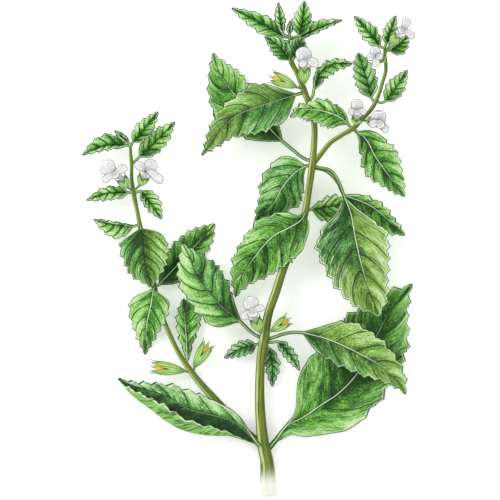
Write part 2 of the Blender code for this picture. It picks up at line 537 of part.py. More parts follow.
def plain_material(name, colour, roughness=0.6):
    """Return the Principled material of this name, made on first use."""
    material = bpy.data.materials.get(name)
    if material is None:
        material = bpy.data.materials.new(name)
        material.use_nodes = True
        shader = material.node_tree.nodes["Principled BSDF"]
        shader.inputs["Base Color"].default_value = (*colour, 1.0)
        shader.inputs["Roughness"].default_value = roughness
    return material


def add_solid(name, points, faces, material, smooth=True):
    """Make a mesh object from points in millimetres, with its origin at the middle of its box."""
    points = np.asarray(points, dtype=float)
    centre = (points.min(axis=0) + points.max(axis=0)) / 2
    mesh = bpy.data.meshes.new(name)
    mesh.from_pydata(((points - centre) * MM).tolist(), [], [list(face) for face in faces])
    mesh.polygons.foreach_set("use_smooth", [smooth] * len(mesh.polygons))
    mesh.materials.append(material)
    obj = bpy.data.objects.new(name, mesh)
    obj.location = centre * MM
    bpy.context.scene.collection.objects.link(obj)
    return obj


def tube_faces(rings, around):
    """Triangles of a closed tube of rings, with a cap at each end, facing outwards."""
    faces = []
    for ring in range(rings - 1):
        for corner in range(around):
            here = ring * around + corner
            beside = ring * around + (corner + 1) % around
            faces.append((here, beside, beside + around))
            faces.append((here, beside + around, here + around))
    last = (rings - 1) * around
    for corner in range(1, around - 1):
        faces.append((0, corner + 1, corner))
        faces.append((last, last + corner, last + corner + 1))
    return faces


def through(stations, values, at):
    """Smooth curve through values at rising stations, by cubic pieces with averaged slopes."""
    stations = np.asarray(stations, dtype=float)
    values = np.asarray(values, dtype=float)
    at = np.asarray(at, dtype=float)
    flat = values.ndim == 1
    if flat:
        values = values[:, None]
    steps = np.diff(stations)[:, None]
    rates = np.diff(values, axis=0) / steps
    slopes = np.empty_like(values)
    slopes[1:-1] = (rates[:-1] * steps[1:] + rates[1:] * steps[:-1]) / (steps[:-1] + steps[1:])
    slopes[0] = rates[0]
    slopes[-1] = rates[-1]
    piece = np.clip(np.searchsorted(stations, at, side="right") - 1, 0, len(steps) - 1)
    step = steps[piece]
    t = ((at - stations[piece])[:, None]) / step
    result = (
        values[piece] * (2 * t**3 - 3 * t**2 + 1)
        + slopes[piece] * step * (t**3 - 2 * t**2 + t)
        + values[piece + 1] * (3 * t**2 - 2 * t**3)
        + slopes[piece + 1] * step * (t**3 - t**2)
    )
    return result[:, 0] if flat else result


def chord_stations(path):
    """Distance along a path in plan at each of its points."""
    legs = np.linalg.norm(np.diff(np.asarray(path, dtype=float)[:, :2], axis=0), axis=1)
    return np.concatenate(([0.0], np.cumsum(np.maximum(legs, SHORTEST_LEG))))


def tooth_height(phase):
    """Height from 0 to 1 of a tooth that leans towards the tip, at phase 0 to 1 along it."""
    rise = np.clip(phase / TOOTH_PEAK, 0.0, 1.0)
    fall = np.clip((1.0 - phase) / (1.0 - TOOTH_PEAK), 0.0, 1.0)
    return np.where(phase < TOOTH_PEAK, rise**TOOTH_RISE, fall**TOOTH_FALL)


def above_floor(height):
    """Press a height softly up to the level at which a blade lies on the surface."""
    excess = height - BLADE_FLOOR
    return BLADE_FLOOR + 0.5 * (excess + np.sqrt(excess**2 + FLOOR_SOFTNESS**2))


def leaf_rows(leaf):
    """Stations of the blade's rows: each tooth's notch and its point, then the blade's own tip."""
    notches = np.arange(leaf.teeth) / leaf.teeth
    points = notches[:-1] + TOOTH_PEAK / leaf.teeth
    return np.sort(np.concatenate((notches, points, [1.0])))


def blade_surface(leaf, rows, columns):
    """Middle surface of a blade as an array of rows by columns by 3, in millimetres.

    A point at station t and place s across lies on the midrib at u = t + slant * |s|^1.2 *
    sin(pi t)^0.8, moved sideways in plan by |s| times the toothed half width there, and raised by
    the side's slope. A curled margin is folded back over the blade.
    """
    path = np.asarray(leaf.path[leaf.base:], dtype=float)
    lengths = chord_stations(path)
    t, s = np.meshgrid(rows, columns, indexing="ij")
    u = np.clip(t + MARGIN_SLANT * np.abs(s) ** SLANT_SPREAD * np.sin(np.pi * t) ** SLANT_FADE, 0.0, 1.0)

    def midrib(station):
        """Points of the midrib at shares of its length."""
        at = np.clip(station, 0.0, 1.0) * lengths[-1]
        return through(lengths, path, at.ravel()).reshape(station.shape + (3,))

    spine = midrib(u)
    along = midrib(u + SLOPE_STEP) - midrib(u - SLOPE_STEP)
    norm = np.hypot(along[..., 0], along[..., 1])
    across = np.stack((along[..., 1] / norm, -along[..., 0] / norm), axis=-1)
    left, right = [
        through(WIDTH_STATIONS, (leaf.petiole, *side, TIP_HALF_WIDTH), u.ravel()).reshape(u.shape)
        for side in (leaf.left, leaf.right)
    ]
    width = np.maximum(np.where(s < 0, left, right), TIP_HALF_WIDTH)
    phase = (t * leaf.teeth) % 1.0
    size = leaf.tooth_depth * np.clip(width / FULL_TOOTH_WIDTH, LEAST_TOOTH, 1.0) * (t > 0) * (t < 1)
    edge = np.clip((np.abs(s) - 1.0 + TOOTH_BAND) / TOOTH_BAND, 0.0, 1.0)
    toothed = width + size * (tooth_height(phase) - TOOTH_INSET) * edge
    reach = np.abs(s) * np.maximum(toothed, TIP_HALF_WIDTH)
    lift = np.zeros_like(reach)
    if leaf.curl > 0:
        body = np.sin(np.pi * np.clip(t, 0.0, 1.0)) ** CURL_FADE
        curled = s < -CURL_START
        turn = np.where(curled, (-s - CURL_START) / (1.0 - CURL_START), 0.0)
        outer = width - CURL_EDGE
        inner = width - leaf.curl * body + size * (CURL_TOOTH - tooth_height(phase))
        rising = outer + CURL_EDGE * np.sin(turn / CURL_TURN * np.pi / 2)
        back = width + (inner - width) * (turn - CURL_TURN) / (1.0 - CURL_TURN)
        folded = np.where(turn <= CURL_TURN, rising, back) * body + np.abs(s) * width * (1.0 - body)
        flat = np.abs(s) / CURL_START * outer
        reach = np.where(s < 0, np.where(curled, folded, flat), reach)
        lift = CURL_HEIGHT * body * turn
    slope = np.where(s < 0, leaf.left_slope, leaf.right_slope)
    ripple = np.where(phase < RELIEF_SHARE, 1.0, -1.0)
    relief = RELIEF * np.sin(np.pi * np.clip(t, 0, 1)) * np.abs(s) * ripple
    roof = slope * reach * np.clip(reach / ROOF_REACH, ROOF_LEAST, 1.0)
    height = above_floor(spine[..., 2] + roof + lift + relief)
    plan = spine[..., :2] + across * (np.sign(s) * reach)[..., None]
    return np.concatenate((plan, height[..., None]), axis=-1)


def unit(vectors):
    """Vectors scaled to length 1 along the last axis."""
    vectors = np.asarray(vectors, dtype=float)
    return vectors / np.maximum(np.linalg.norm(vectors, axis=-1, keepdims=True), 1e-9)


def leaf_points(leaf):
    """Rings of points of one whole leaf: round along the petiole, then flat across the blade."""
    columns = np.array(leaf.columns)
    middle = blade_surface(leaf, leaf_rows(leaf), columns)
    normals = unit(np.cross(np.gradient(middle, axis=1), np.gradient(middle, axis=0)))
    normals = -normals if normals[..., 2].mean() < 0 else normals
    upper = middle + normals * BLADE_THICKNESS / 2
    lower = middle - normals * BLADE_THICKNESS / 2
    rib = int(np.argmin(np.abs(columns)))
    keel = KEEL_DEPTH * (1.0 - np.linspace(0.0, 1.0, len(middle)))
    lower[:, rib] -= normals[:, rib] * keel[:, None]
    lower[..., 2] = np.maximum(lower[..., 2], 0.0)
    blade = np.concatenate((upper, lower[:, ::-1]), axis=1)
    if leaf.rests:
        share = np.clip(2.0 * leaf_rows(leaf), 0.0, 1.0)
        blade[..., 2] -= blade[..., 2].min() * share[:, None]

    path = np.asarray(leaf.path[:leaf.base + 1], dtype=float)
    lengths = np.concatenate(([0.0], np.cumsum(np.linalg.norm(np.diff(path, axis=0), axis=1))))
    count = 2 + 2 * leaf.base
    stops = np.linspace(0.0, lengths[-1], count)[:-1]
    whole = np.asarray(leaf.path[:leaf.base + 2], dtype=float)
    whole_lengths = np.concatenate(([0.0], np.cumsum(np.linalg.norm(np.diff(whole, axis=0), axis=1))))
    spine = through(whole_lengths, whole, stops)
    heading = unit(through(whole_lengths, whole, stops + LOOK_AHEAD) - spine)
    side = unit(np.stack((heading[:, 1], -heading[:, 0], np.zeros(len(heading))), axis=1))
    side = np.where(np.linalg.norm(side, axis=1, keepdims=True) < 0.5, [[1.0, 0.0, 0.0]], side)
    up = np.cross(side, heading)
    spread = np.radians(np.linspace(*PETIOLE_SPREAD, len(columns)))
    angles = np.concatenate((spread, -spread[::-1]))
    rings = (
        spine[:, None, :]
        + side[:, None, :] * (np.cos(angles) * leaf.petiole)[None, :, None]
        + up[:, None, :] * (np.sin(angles) * leaf.petiole)[None, :, None]
    )
    return np.concatenate((rings, blade), axis=0)


def add_leaf(leaf, name, material):
    """Model one leaf as a closed solid."""
    rings = leaf_points(leaf)
    faces = tube_faces(rings.shape[0], rings.shape[1])
    return add_solid(name, rings.reshape(-1, 3), faces, material)


def add_stem(name, table, material, extra=0.0, helper=False):
    """Model a stem as a square tube with bevelled corners, wider by extra all round."""
    table = np.asarray(table, dtype=float)
    lengths = chord_stations(table)
    axis = through(lengths, table, lengths)
    heading = unit(np.gradient(axis[:, :2], axis=0))
    side = np.stack((heading[:, 1], -heading[:, 0], np.zeros(len(axis))), axis=1)
    radius = axis[:, 3:4] + extra
    if extra > 0:
        axis[0, :2] -= heading[0] * extra
        axis[-1, :2] += heading[-1] * extra
    rings = np.empty((len(axis), len(STEM_OUTLINE), 3))
    for corner, (across, up) in enumerate(STEM_OUTLINE):
        rings[:, corner] = axis[:, :3] + side * radius * across
        rings[:, corner, 2] += (radius * up)[:, 0]
    faces = [face[::-1] for face in tube_faces(len(axis), len(STEM_OUTLINE))]
    obj = add_solid(name, rings.reshape(-1, 3), faces, material)
    if helper:
        obj.hide_render = True
        obj.display_type = "WIRE"
    return obj


def cut_back(obj, clearance):
    """Cut a root back to leave a small gap round the stem that carries it."""
    modifier = obj.modifiers.new("stem_gap", "BOOLEAN")
    modifier.operation = "DIFFERENCE"
    modifier.solver = "EXACT"
    modifier.object = clearance


def flower_frame(flower):
    """Base, length, direction and two crosswise directions of a calyx, the first of them level."""
    base = np.array(flower.base)
    tip = np.array(flower.tip)
    forward = unit(tip - base)
    level = unit(np.cross(forward, (0.0, 0.0, 1.0)))
    return base, float(np.linalg.norm(tip - base)), forward, level, np.cross(forward, level)


def ring_at(centre, level, other, radii, angles):
    """Points round a centre at the given radii and angles, counted from the level direction."""
    radii = np.broadcast_to(radii, angles.shape)
    return centre + (np.cos(angles) * radii)[:, None] * level + (np.sin(angles) * radii)[:, None] * other


def room_inside(flower):
    """Radius that a calyx leaves free for what it holds."""
    return flower.radius - CALYX_WALL - GAP - CALYX_SLACK


def add_calyx(flower, material):
    """Model a calyx: a stalk, a bell with five pointed, spreading teeth, and an open mouth."""
    base, length, forward, level, other = flower_frame(flower)
    angles = np.arange(CALYX_SIDES) * 2 * math.pi / CALYX_SIDES + math.pi / 2
    is_tooth = np.arange(CALYX_SIDES) % 2 == 0
    root = np.array(flower.root)
    rings = [
        ring_at(root, level, other, STALK_RADIUS, angles),
        ring_at(root + (base - root) * STALK_RING, level, other, STALK_RADIUS, angles),
        ring_at(base, level, other, STALK_RADIUS * STALK_FLARE, angles),
    ]
    for place, share in CALYX_BELL:
        rings.append(ring_at(base + forward * length * place, level, other, flower.radius * share, angles))
    reach = np.where(is_tooth, 1.0, CALYX_NOTCH) * length
    spread = np.where(is_tooth, TOOTH_FLARE, NOTCH_FLARE) * flower.radius
    inside = spread - CALYX_WALL
    floor = base + forward * length * CALYX_FLOOR
    rings.append(ring_at(base, level, other, spread, angles) + reach[:, None] * forward)
    rings.append(ring_at(base, level, other, inside, angles) + (reach - RIM_DROP)[:, None] * forward)
    rings.append(ring_at(floor, level, other, flower.radius - CALYX_WALL, angles))
    faces = tube_faces(len(rings), CALYX_SIDES)
    return add_solid(flower.name + "_calyx", np.concatenate(rings), faces, material)


def petal_reach(angles, lobes):
    """Distance from the face's middle to the corolla's edge, which is the outline of the lobes' discs."""
    reach = np.full(angles.shape, COROLLA_THROAT + THROAT_LIP)
    for place, distance, radius in lobes:
        turn = angles - math.radians(place)
        inside = radius**2 - (distance * np.sin(turn)) ** 2
        hit = (np.cos(turn) > 0) & (inside > 0)
        far = distance * np.cos(turn) + np.sqrt(np.maximum(inside, 0.0))
        reach = np.where(hit, np.maximum(reach, far), reach)
    return reach


def add_corolla(flower, material):
    """Model a corolla: a tube that starts in the calyx, bends up, and opens into a lobed face."""
    base, length, forward, level, other = flower_frame(flower)
    angles = np.arange(COROLLA_SIDES) * 2 * math.pi / COROLLA_SIDES
    tube = room_inside(flower)
    face = np.array(flower.face)
    normal = unit(FACE_LEAN * forward + np.array((0.0, 0.0, 1.0)))
    upright = np.cross(normal, level)
    reach = petal_reach(angles + math.atan2(level[1], level[0]), flower.lobes)
    start = base + forward * (length * CALYX_FLOOR + GAP)
    bend = base + forward * length * TUBE_BEND
    mean = unit(forward + normal)
    back = reach * FACE_RISE - reach**2 * FACE_DROOP - COROLLA_WALL
    rim = ring_at(face, level, upright, reach, angles)
    rings = [
        ring_at(start, level, other, tube * TUBE_START, angles),
        ring_at(bend, level, np.cross(mean, level), tube, angles),
        ring_at(face - normal * THROAT_DEPTH, level, upright, COROLLA_THROAT, angles),
        rim + back[:, None] * normal,
        rim + (back + COROLLA_WALL)[:, None] * normal,
        ring_at(face + normal * INNER_RISE, level, upright, reach * INNER_FACE, angles),
        ring_at(face - normal * INNER_FALL, level, upright, THROAT_FLOOR, angles),
    ]
    faces = tube_faces(len(rings), COROLLA_SIDES)
    return add_solid(flower.name + "_corolla", np.concatenate(rings), faces, material)


def add_nutlets(flower, material):
    """Model the ripe nutlets as one lumpy core in the mouth of a calyx."""
    base, length, forward, level, other = flower_frame(flower)
    corners = np.arange(NUTLET_SIDES)
    angles = corners * 2 * math.pi / NUTLET_SIDES
    radii = room_inside(flower) * (1.0 - NUTLET_LUMP * (corners % 2))
    rings = []
    for place, share in NUTLET_RINGS:
        centre = base + forward * (length * (CALYX_FLOOR + place * NUTLET_HEIGHT) + GAP)
        rings.append(ring_at(centre, level, other, radii * share, angles))
    faces = tube_faces(len(rings), NUTLET_SIDES)
    return add_solid(flower.name + "_nutlets", np.concatenate(rings), faces, material)


def add_bud(name, centre, radius, leaves, clearance, material):
    """Model the young leaves at a shoot's tip, joined to a small round bud."""
    operands = bpy.data.collections.new(name + "_leaves")
    bpy.context.scene.collection.children.link(operands)
    for leaf in leaves:
        blade = add_leaf(leaf, name + "_" + leaf.name, material)
        bpy.context.scene.collection.objects.unlink(blade)
        operands.objects.link(blade)
        blade.hide_render = True
        blade.display_type = "WIRE"
    middle = np.array(centre)
    across = np.array((1.0, 0.0, 0.0))
    ahead = np.array((0.0, 1.0, 0.0))
    angles = np.arange(BUD_SIDES) * 2 * math.pi / BUD_SIDES
    rings = []
    for tilt in np.radians(BUD_TILTS):
        level = middle + np.array((0.0, 0.0, math.sin(tilt) * radius))
        rings.append(ring_at(level, across, ahead, math.cos(tilt) * radius, angles))
    bud = add_solid(name, np.concatenate(rings), tube_faces(len(rings), BUD_SIDES), material)
    join = bud.modifiers.new("leaves", "BOOLEAN")
    join.operation = "UNION"
    join.solver = "EXACT"
    join.operand_type = "COLLECTION"
    join.collection = operands
    cut_back(bud, clearance)
    return bud


def main():
    """Model the whole sprig."""
    clear_scene()
    stem_material = plain_material("stem_green", STEM_GREEN, 0.55)
    calyx_material = plain_material("calyx_green", CALYX_GREEN)
    petal_material = plain_material("petal_white", PETAL_WHITE, 0.5)
    nutlet_material = plain_material("nutlet_yellow", NUTLET_YELLOW, 0.5)
    leaf_materials = {
        LEAF_GREEN: plain_material("leaf_green", LEAF_GREEN),
        DARK_LEAF_GREEN: plain_material("dark_leaf_green", DARK_LEAF_GREEN),
        YOUNG_LEAF_GREEN: plain_material("young_leaf_green", YOUNG_LEAF_GREEN),
    }
    clearances = {}
    stems = {}
    for name, table in (("main_stem", MAIN_STEM), ("left_shoot", LEFT_SHOOT), ("right_shoot", RIGHT_SHOOT)):
        stems[name] = add_stem(name, table, stem_material)
        clearances[name] = add_stem(name + "_clearance", table, stem_material, GAP, helper=True)
    cut_back(stems["left_shoot"], clearances["main_stem"])
    cut_back(stems["right_shoot"], clearances["main_stem"])
    for leaf in LEAVES:
        cut_back(add_leaf(leaf, leaf.name, leaf_materials[leaf.colour]), clearances[leaf.stem])
    for name, centre, radius, stem, leaves in TIP_BUDS:
        add_bud(name, centre, radius, leaves, clearances[stem], leaf_materials[YOUNG_LEAF_GREEN])
    for flower in FLOWERS:
        cut_back(add_calyx(flower, calyx_material), clearances[flower.stem])
        if flower.lobes:
            add_corolla(flower, petal_material)
        else:
            add_nutlets(flower, nutlet_material)


main()
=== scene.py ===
"""Finished look of a cut lemon balm sprig that lies on a pale surface.

The sprig lies along +Y with its cut end near the origin, and +Z points up. Every size in the tables
is in millimetres. Each surface is worked out on a grid of two parameters as whole arrays, and its
marks, such as the distance from the midrib, are kept as attributes that the finishes read.
"""
from __future__ import annotations

import logging
import math
from dataclasses import dataclass, field
from enum import Enum

import bpy
import numpy as np
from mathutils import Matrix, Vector

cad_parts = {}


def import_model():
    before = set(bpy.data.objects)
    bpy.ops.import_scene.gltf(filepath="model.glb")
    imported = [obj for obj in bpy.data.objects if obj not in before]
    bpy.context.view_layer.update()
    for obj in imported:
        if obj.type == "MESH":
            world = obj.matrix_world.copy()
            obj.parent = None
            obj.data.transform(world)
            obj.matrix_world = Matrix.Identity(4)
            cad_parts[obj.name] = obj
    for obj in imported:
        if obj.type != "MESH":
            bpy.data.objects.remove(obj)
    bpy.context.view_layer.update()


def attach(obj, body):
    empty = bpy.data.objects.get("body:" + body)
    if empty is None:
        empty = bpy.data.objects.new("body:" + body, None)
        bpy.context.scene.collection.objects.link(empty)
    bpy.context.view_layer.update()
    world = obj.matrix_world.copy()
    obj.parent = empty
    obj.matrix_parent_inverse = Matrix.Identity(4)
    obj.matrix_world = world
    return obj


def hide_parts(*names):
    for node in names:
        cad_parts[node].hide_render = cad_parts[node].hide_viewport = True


log = logging.getLogger("lemon_balm")

MM = 0.001
FAR = 9.0  # millimetres from a margin or rim at which nothing of it is painted
BODY = "root"

Grid = np.ndarray
Colour = tuple[float, float, float]
Point = tuple[float, float, float]
Marks = dict[str, np.ndarray]
Scale = tuple[tuple[float, Colour], ...]


def unit(vectors: Grid) -> Grid:
    """Vectors divided by their own length, along the last axis."""
    vectors = np.asarray(vectors, dtype=float)
    return vectors / np.maximum(np.linalg.norm(vectors, axis=-1, keepdims=True), 1e-9)


def smooth(values: Grid, low: float, high: float) -> Grid:
    """Step from 0 at low to 1 at high, as 3x^2 - 2x^3 of the share x of the way."""
    share = np.clip((np.asarray(values, dtype=float) - low) / (high - low), 0.0, 1.0)
    return share * share * (3.0 - 2.0 * share)


def through(stations: Grid, values: Grid, at: Grid) -> Grid:
    """Smooth curve through values at rising stations.

    Between two stations it is the cubic whose slope at each of them is the average of the rates on
    both sides, weighted by the length of the opposite side.

    Args:
        stations: Rising numbers, one for each value.
        values: Numbers or points to pass through.
        at: Stations at which the curve is wanted, as an array of any shape.

    Returns:
        The numbers or points of the curve, laid out as those stations.
    """
    stations = np.asarray(stations, dtype=float)
    table = np.asarray(values, dtype=float)
    values = table.reshape(len(table), -1)
    steps = np.diff(stations)[:, None]
    rates = np.diff(values, axis=0) / steps
    slopes = np.empty_like(values)
    slopes[1:-1] = (rates[:-1] * steps[1:] + rates[1:] * steps[:-1]) / (steps[:-1] + steps[1:])
    slopes[0] = rates[0]
    slopes[-1] = rates[-1]
    places = np.ravel(at)
    piece = np.clip(np.searchsorted(stations, places, side="right") - 1, 0, len(steps) - 1)
    step = steps[piece]
    t = (places - stations[piece])[:, None] / step
    result = (
        values[piece] * (2 * t**3 - 3 * t**2 + 1)
        + slopes[piece] * step * (t**3 - 2 * t**2 + t)
        + values[piece + 1] * (3 * t**2 - 2 * t**3)
        + slopes[piece + 1] * step * (t**3 - t**2)
    )
    return result.reshape(np.shape(at) + table.shape[1:])


def plan_lengths(path: Grid) -> Grid:
    """Distance along a path in plan at each of its points."""
    legs = np.linalg.norm(np.diff(np.asarray(path, dtype=float)[:, :2], axis=0), axis=1)
    return np.concatenate(([0.0], np.cumsum(np.maximum(legs, 0.4))))


def true_lengths(path: Grid) -> Grid:
    """Distance along a path in space at each of its points."""
    legs = np.linalg.norm(np.diff(np.asarray(path, dtype=float)[:, :3], axis=0), axis=1)
    return np.concatenate(([0.0], np.cumsum(legs)))


def ring_at(centre: Grid, first: Grid, second: Grid, radii: Grid, angles: Grid) -> Grid:
    """Points round a centre at the given radii and angles, counted from the first direction."""
    radii = np.broadcast_to(radii, angles.shape)
    return centre + (np.cos(angles) * radii)[:, None] * first + (np.sin(angles) * radii)[:, None] * second


def two_faced(upper: Grid, lower: Grid) -> Grid:
    """Rings that go across the upper face and back across the lower one."""
    return np.concatenate((upper, lower[:, ::-1]), axis=1)


@dataclass
class Shell:
    """One closed surface: points in millimetres, four-cornered faces and a number per point for each mark."""

    points: Grid
    faces: Grid
    marks: Marks

    @staticmethod
    def of_rings(rings: Grid, marks: Marks) -> Shell:
        """Close a stack of rings of points into a shell.

        Point p of ring r joins point p + 1 and the same two points of ring r + 1. Each end ring is
        closed by faces between point p and the point as far from the ring's other end.

        Args:
            rings: Array of rings by points by 3, turning right-handed about the way that they go.
            marks: Arrays of rings by points.

        Returns:
            The shell, facing outwards.
        """
        count, around = rings.shape[:2]
        corner = np.arange(around)
        beside = (corner + 1) % around
        start = (np.arange(count - 1) * around)[:, None]
        low, high = start + corner, start + beside
        sides = np.stack((low, high, high + around, low + around), axis=-1)
        near = np.arange(around // 2 - 1)
        cap = np.stack((near, near + 1, around - 2 - near, around - 1 - near), axis=-1)
        faces = np.concatenate((sides.reshape(-1, 4), cap[:, ::-1], cap + (count - 1) * around))
        lists = {name: np.broadcast_to(values, (count, around)).ravel() for name, values in marks.items()}
        return Shell(rings.reshape(-1, 3), faces, lists)

    @staticmethod
    def joined(shells: list[Shell]) -> Shell:
        """Put several shells with the same marks into one."""
        starts = np.cumsum([0] + [len(shell.points) for shell in shells[:-1]])
        return Shell(
            np.concatenate([shell.points for shell in shells]),
            np.concatenate([shell.faces + start for shell, start in zip(shells, starts)]),
            {name: np.concatenate([shell.marks[name] for shell in shells]) for name in shells[0].marks},
        )

    def piece(self, name: str, material: bpy.types.Material) -> bpy.types.Object:
        """Put the shell into a mesh object at the origin, smooth shaded, with its marks as attributes."""
        mesh = bpy.data.meshes.new(name)
        mesh.vertices.add(len(self.points))
        mesh.vertices.foreach_set("co", (self.points * MM).ravel())
        mesh.loops.add(self.faces.size)
        mesh.loops.foreach_set("vertex_index", self.faces.ravel().astype(np.int32))
        mesh.polygons.add(len(self.faces))
        mesh.polygons.foreach_set("loop_start", np.arange(len(self.faces), dtype=np.int32) * 4)
        mesh.polygons.foreach_set("use_smooth", np.ones(len(self.faces), dtype=bool))
        mesh.update(calc_edges=True)
        for mark, values in self.marks.items():
            mesh.attributes.new(mark, "FLOAT", "POINT").data.foreach_set("value", values.astype(np.float32))
        mesh.materials.append(material)
        piece = bpy.data.objects.new(name, mesh)
        bpy.context.scene.collection.objects.link(piece)
        return piece


class Number:
    """A number that a node gives out. Python's operators on it add Math nodes."""

    def __init__(self, bench: Bench, socket: bpy.types.NodeSocket) -> None:
        """Keep the socket and the bench that it belongs to."""
        self.bench = bench
        self.socket = socket

    def __add__(self, other: Number | float) -> Number:
        """Sum."""
        return self.bench.maths("ADD", self, other)

    __radd__ = __add__

    def __sub__(self, other: Number | float) -> Number:
        """Difference."""
        return self.bench.maths("SUBTRACT", self, other)

    def __rsub__(self, other: float) -> Number:
        """Difference from a plain number."""
        return self.bench.maths("SUBTRACT", other, self)

    def __mul__(self, other: Number | float) -> Number:
        """Product."""
        return self.bench.maths("MULTIPLY", self, other)

    __rmul__ = __mul__

    def __truediv__(self, other: Number | float) -> Number:
        """Quotient."""
        return self.bench.maths("DIVIDE", self, other)

    def __pow__(self, other: float) -> Number:
        """Power."""
        return self.bench.maths("POWER", self, other)

    def __abs__(self) -> Number:
        """Size without its sign."""
        return self.bench.maths("ABSOLUTE", self)

    def fraction(self) -> Number:
        """Share of the way from one whole number to the next."""
        return self.bench.maths("FRACT", self)

    def step(self, low: float, high: float) -> Number:
        """Smooth step from 0 at low to 1 at high, also where high is the smaller of the two."""
        node = self.bench.node(
            "ShaderNodeMapRange", {"interpolation_type": "SMOOTHSTEP"},
            {"Value": self, "From Min": min(low, high), "From Max": max(low, high),
             "To Min": float(high < low), "To Max": float(high > low)})
        return Number(self.bench, node.outputs[0])


class Bench:
    """The nodes of one material, and the calls that add to them."""

    def __init__(self, name: str) -> None:
        """Make the material and find its shader."""
        self.material = bpy.data.materials.new(name)
        self.material.use_nodes = True
        self.tree = self.material.node_tree
        self.shader = self.tree.nodes["Principled BSDF"]

    def node(self, kind: str, settings: dict[str, object], values: dict[str | int, object]) -> bpy.types.Node:
        """Add a node.

        Args:
            kind: The node's type.
            settings: Its own settings, which are set first.
            values: For inputs by name or number, plain values, numbers or sockets.

        Returns:
            The new node.
        """
        node = self.tree.nodes.new(kind)
        for name, value in settings.items():
            setattr(node, name, value)
        for name, value in values.items():
            self.feed(node.inputs[name], value)
        return node

    def feed(self, entry: bpy.types.NodeSocket, value: object) -> None:
        """Link a number or socket to an input, or set the input to a plain value."""
        if isinstance(value, Number):
            self.tree.links.new(value.socket, entry)
        elif isinstance(value, bpy.types.NodeSocket):
            self.tree.links.new(value, entry)
        else:
            entry.default_value = value

    def maths(self, operation: str, *values: Number | float) -> Number:
        """Add a Math node for one operation."""
        node = self.node("ShaderNodeMath", {"operation": operation}, dict(enumerate(values)))
        return Number(self, node.outputs[0])

    def mark(self, name: str) -> Number:
        """Read one of the piece's marks."""
        node = self.node("ShaderNodeAttribute", {"attribute_name": name}, {})
        return Number(self, node.outputs["Fac"])

    def marks(self, *names: str) -> list[Number]:
        """Read several marks."""
        return [self.mark(name) for name in names]

    def place(self, *numbers: Number | float) -> bpy.types.NodeSocket:
        """Join two or three numbers to one place for a pattern."""
        return self.node("ShaderNodeCombineXYZ", {}, dict(enumerate(numbers))).outputs[0]

    def space(self) -> bpy.types.NodeSocket:
        """Read the place in the object's own space."""
        return self.node("ShaderNodeTexCoord", {}, {}).outputs["Object"]

    def noise(self, place: object, scale: float = 1.0, detail: float = 2.0) -> Number:
        """Read cloudy noise between 0 and 1 at a place, given as a socket or as its numbers."""
        place = self.place(*place) if isinstance(place, tuple) else place
        node = self.node("ShaderNodeTexNoise", {}, {"Vector": place, "Scale": scale, "Detail": detail})
        return Number(self, node.outputs["Fac"])

    def net(self, place: bpy.types.NodeSocket, scale: float) -> Number:
        """Read the distance from the lines of a net of uneven cells."""
        inputs = {"Vector": place, "Scale": scale}
        node = self.node("ShaderNodeTexVoronoi", {"feature": "DISTANCE_TO_EDGE"}, inputs)
        return Number(self, node.outputs["Distance"])

    def mix(self, share: Number | float, first: object, second: object) -> bpy.types.NodeSocket:
        """Mix two colours by a share. Each is a socket or a screen colour."""
        first, second = (paint(colour) if isinstance(colour, tuple) else colour for colour in (first, second))
        return self.node("ShaderNodeMix", {"data_type": "RGBA"}, {0: share, 6: first, 7: second}).outputs[2]

    def coats(self, colour: object, layers: tuple[tuple[Number, object], ...]) -> bpy.types.NodeSocket:
        """Lay coats over a colour in order, each with its share and its own colour or socket."""
        for share, coat in layers:
            colour = self.mix(share, colour, coat)
        return colour

    def ramp(self, share: Number, stops: Scale) -> bpy.types.NodeSocket:
        """Turn a number into a colour between rising stops."""
        node = self.tree.nodes.new("ShaderNodeValToRGB")
        elements = node.color_ramp.elements
        while len(elements) < len(stops):
            elements.new(0.5)
        for element, (position, colour) in zip(elements, stops):
            element.position = position
            element.color = paint(colour)
        self.feed(node.inputs[0], share)
        return node.outputs[0]

    def finish(self, colour: object, roughness: object, height: Number, depth: float,
               specular: float = 0.5) -> bpy.types.Material:
        """Feed the shader.

        Args:
            colour: Base colour.
            roughness: Roughness, plain or varying.
            height: Height of the relief as a share of its depth.
            depth: The relief's depth in millimetres.
            specular: The shader's specular level.

        Returns:
            The finished material.
        """
        self.feed(self.shader.inputs["Base Color"], colour)
        self.feed(self.shader.inputs["Roughness"], roughness)
        self.shader.inputs["Specular IOR Level"].default_value = specular
        bump = self.node("ShaderNodeBump", {}, {"Height": height, "Distance": depth * MM, "Strength": 1.0})
        self.tree.links.new(bump.outputs[0], self.shader.inputs["Normal"])
        return self.material


def paint(colour: Colour) -> tuple[float, float, float, float]:
    """Turn a screen colour of 0 to 255 into a shader's colour, by the screen's own curve."""
    share = np.asarray(colour, dtype=float) / 255.0
    linear = np.where(share <= 0.04045, share / 12.92, ((share + 0.055) / 1.055) ** 2.4)
    return (*[float(value) for value in linear], 1.0)


def scale(*colours: Colour) -> Scale:
    """Five colours from dark to light at the ramp's stops."""
    return tuple(zip((0.04, 0.27, 0.5, 0.74, 0.97), colours))


LEAF_GREEN = scale((38, 70, 30), (62, 112, 42), (92, 156, 58), (132, 194, 88), (196, 228, 162))
DARK_GREEN = scale((34, 62, 32), (52, 94, 42), (76, 132, 60), (112, 172, 88), (184, 220, 160))
YOUNG_GREEN = scale((32, 70, 26), (54, 110, 38), (82, 154, 52), (122, 190, 82), (196, 230, 168))
LIME = scale((78, 104, 44), (110, 146, 62), (140, 180, 84), (170, 204, 118), (210, 230, 176))
BLUE = scale((36, 72, 36), (56, 106, 52), (80, 140, 72), (116, 176, 102), (178, 218, 164))


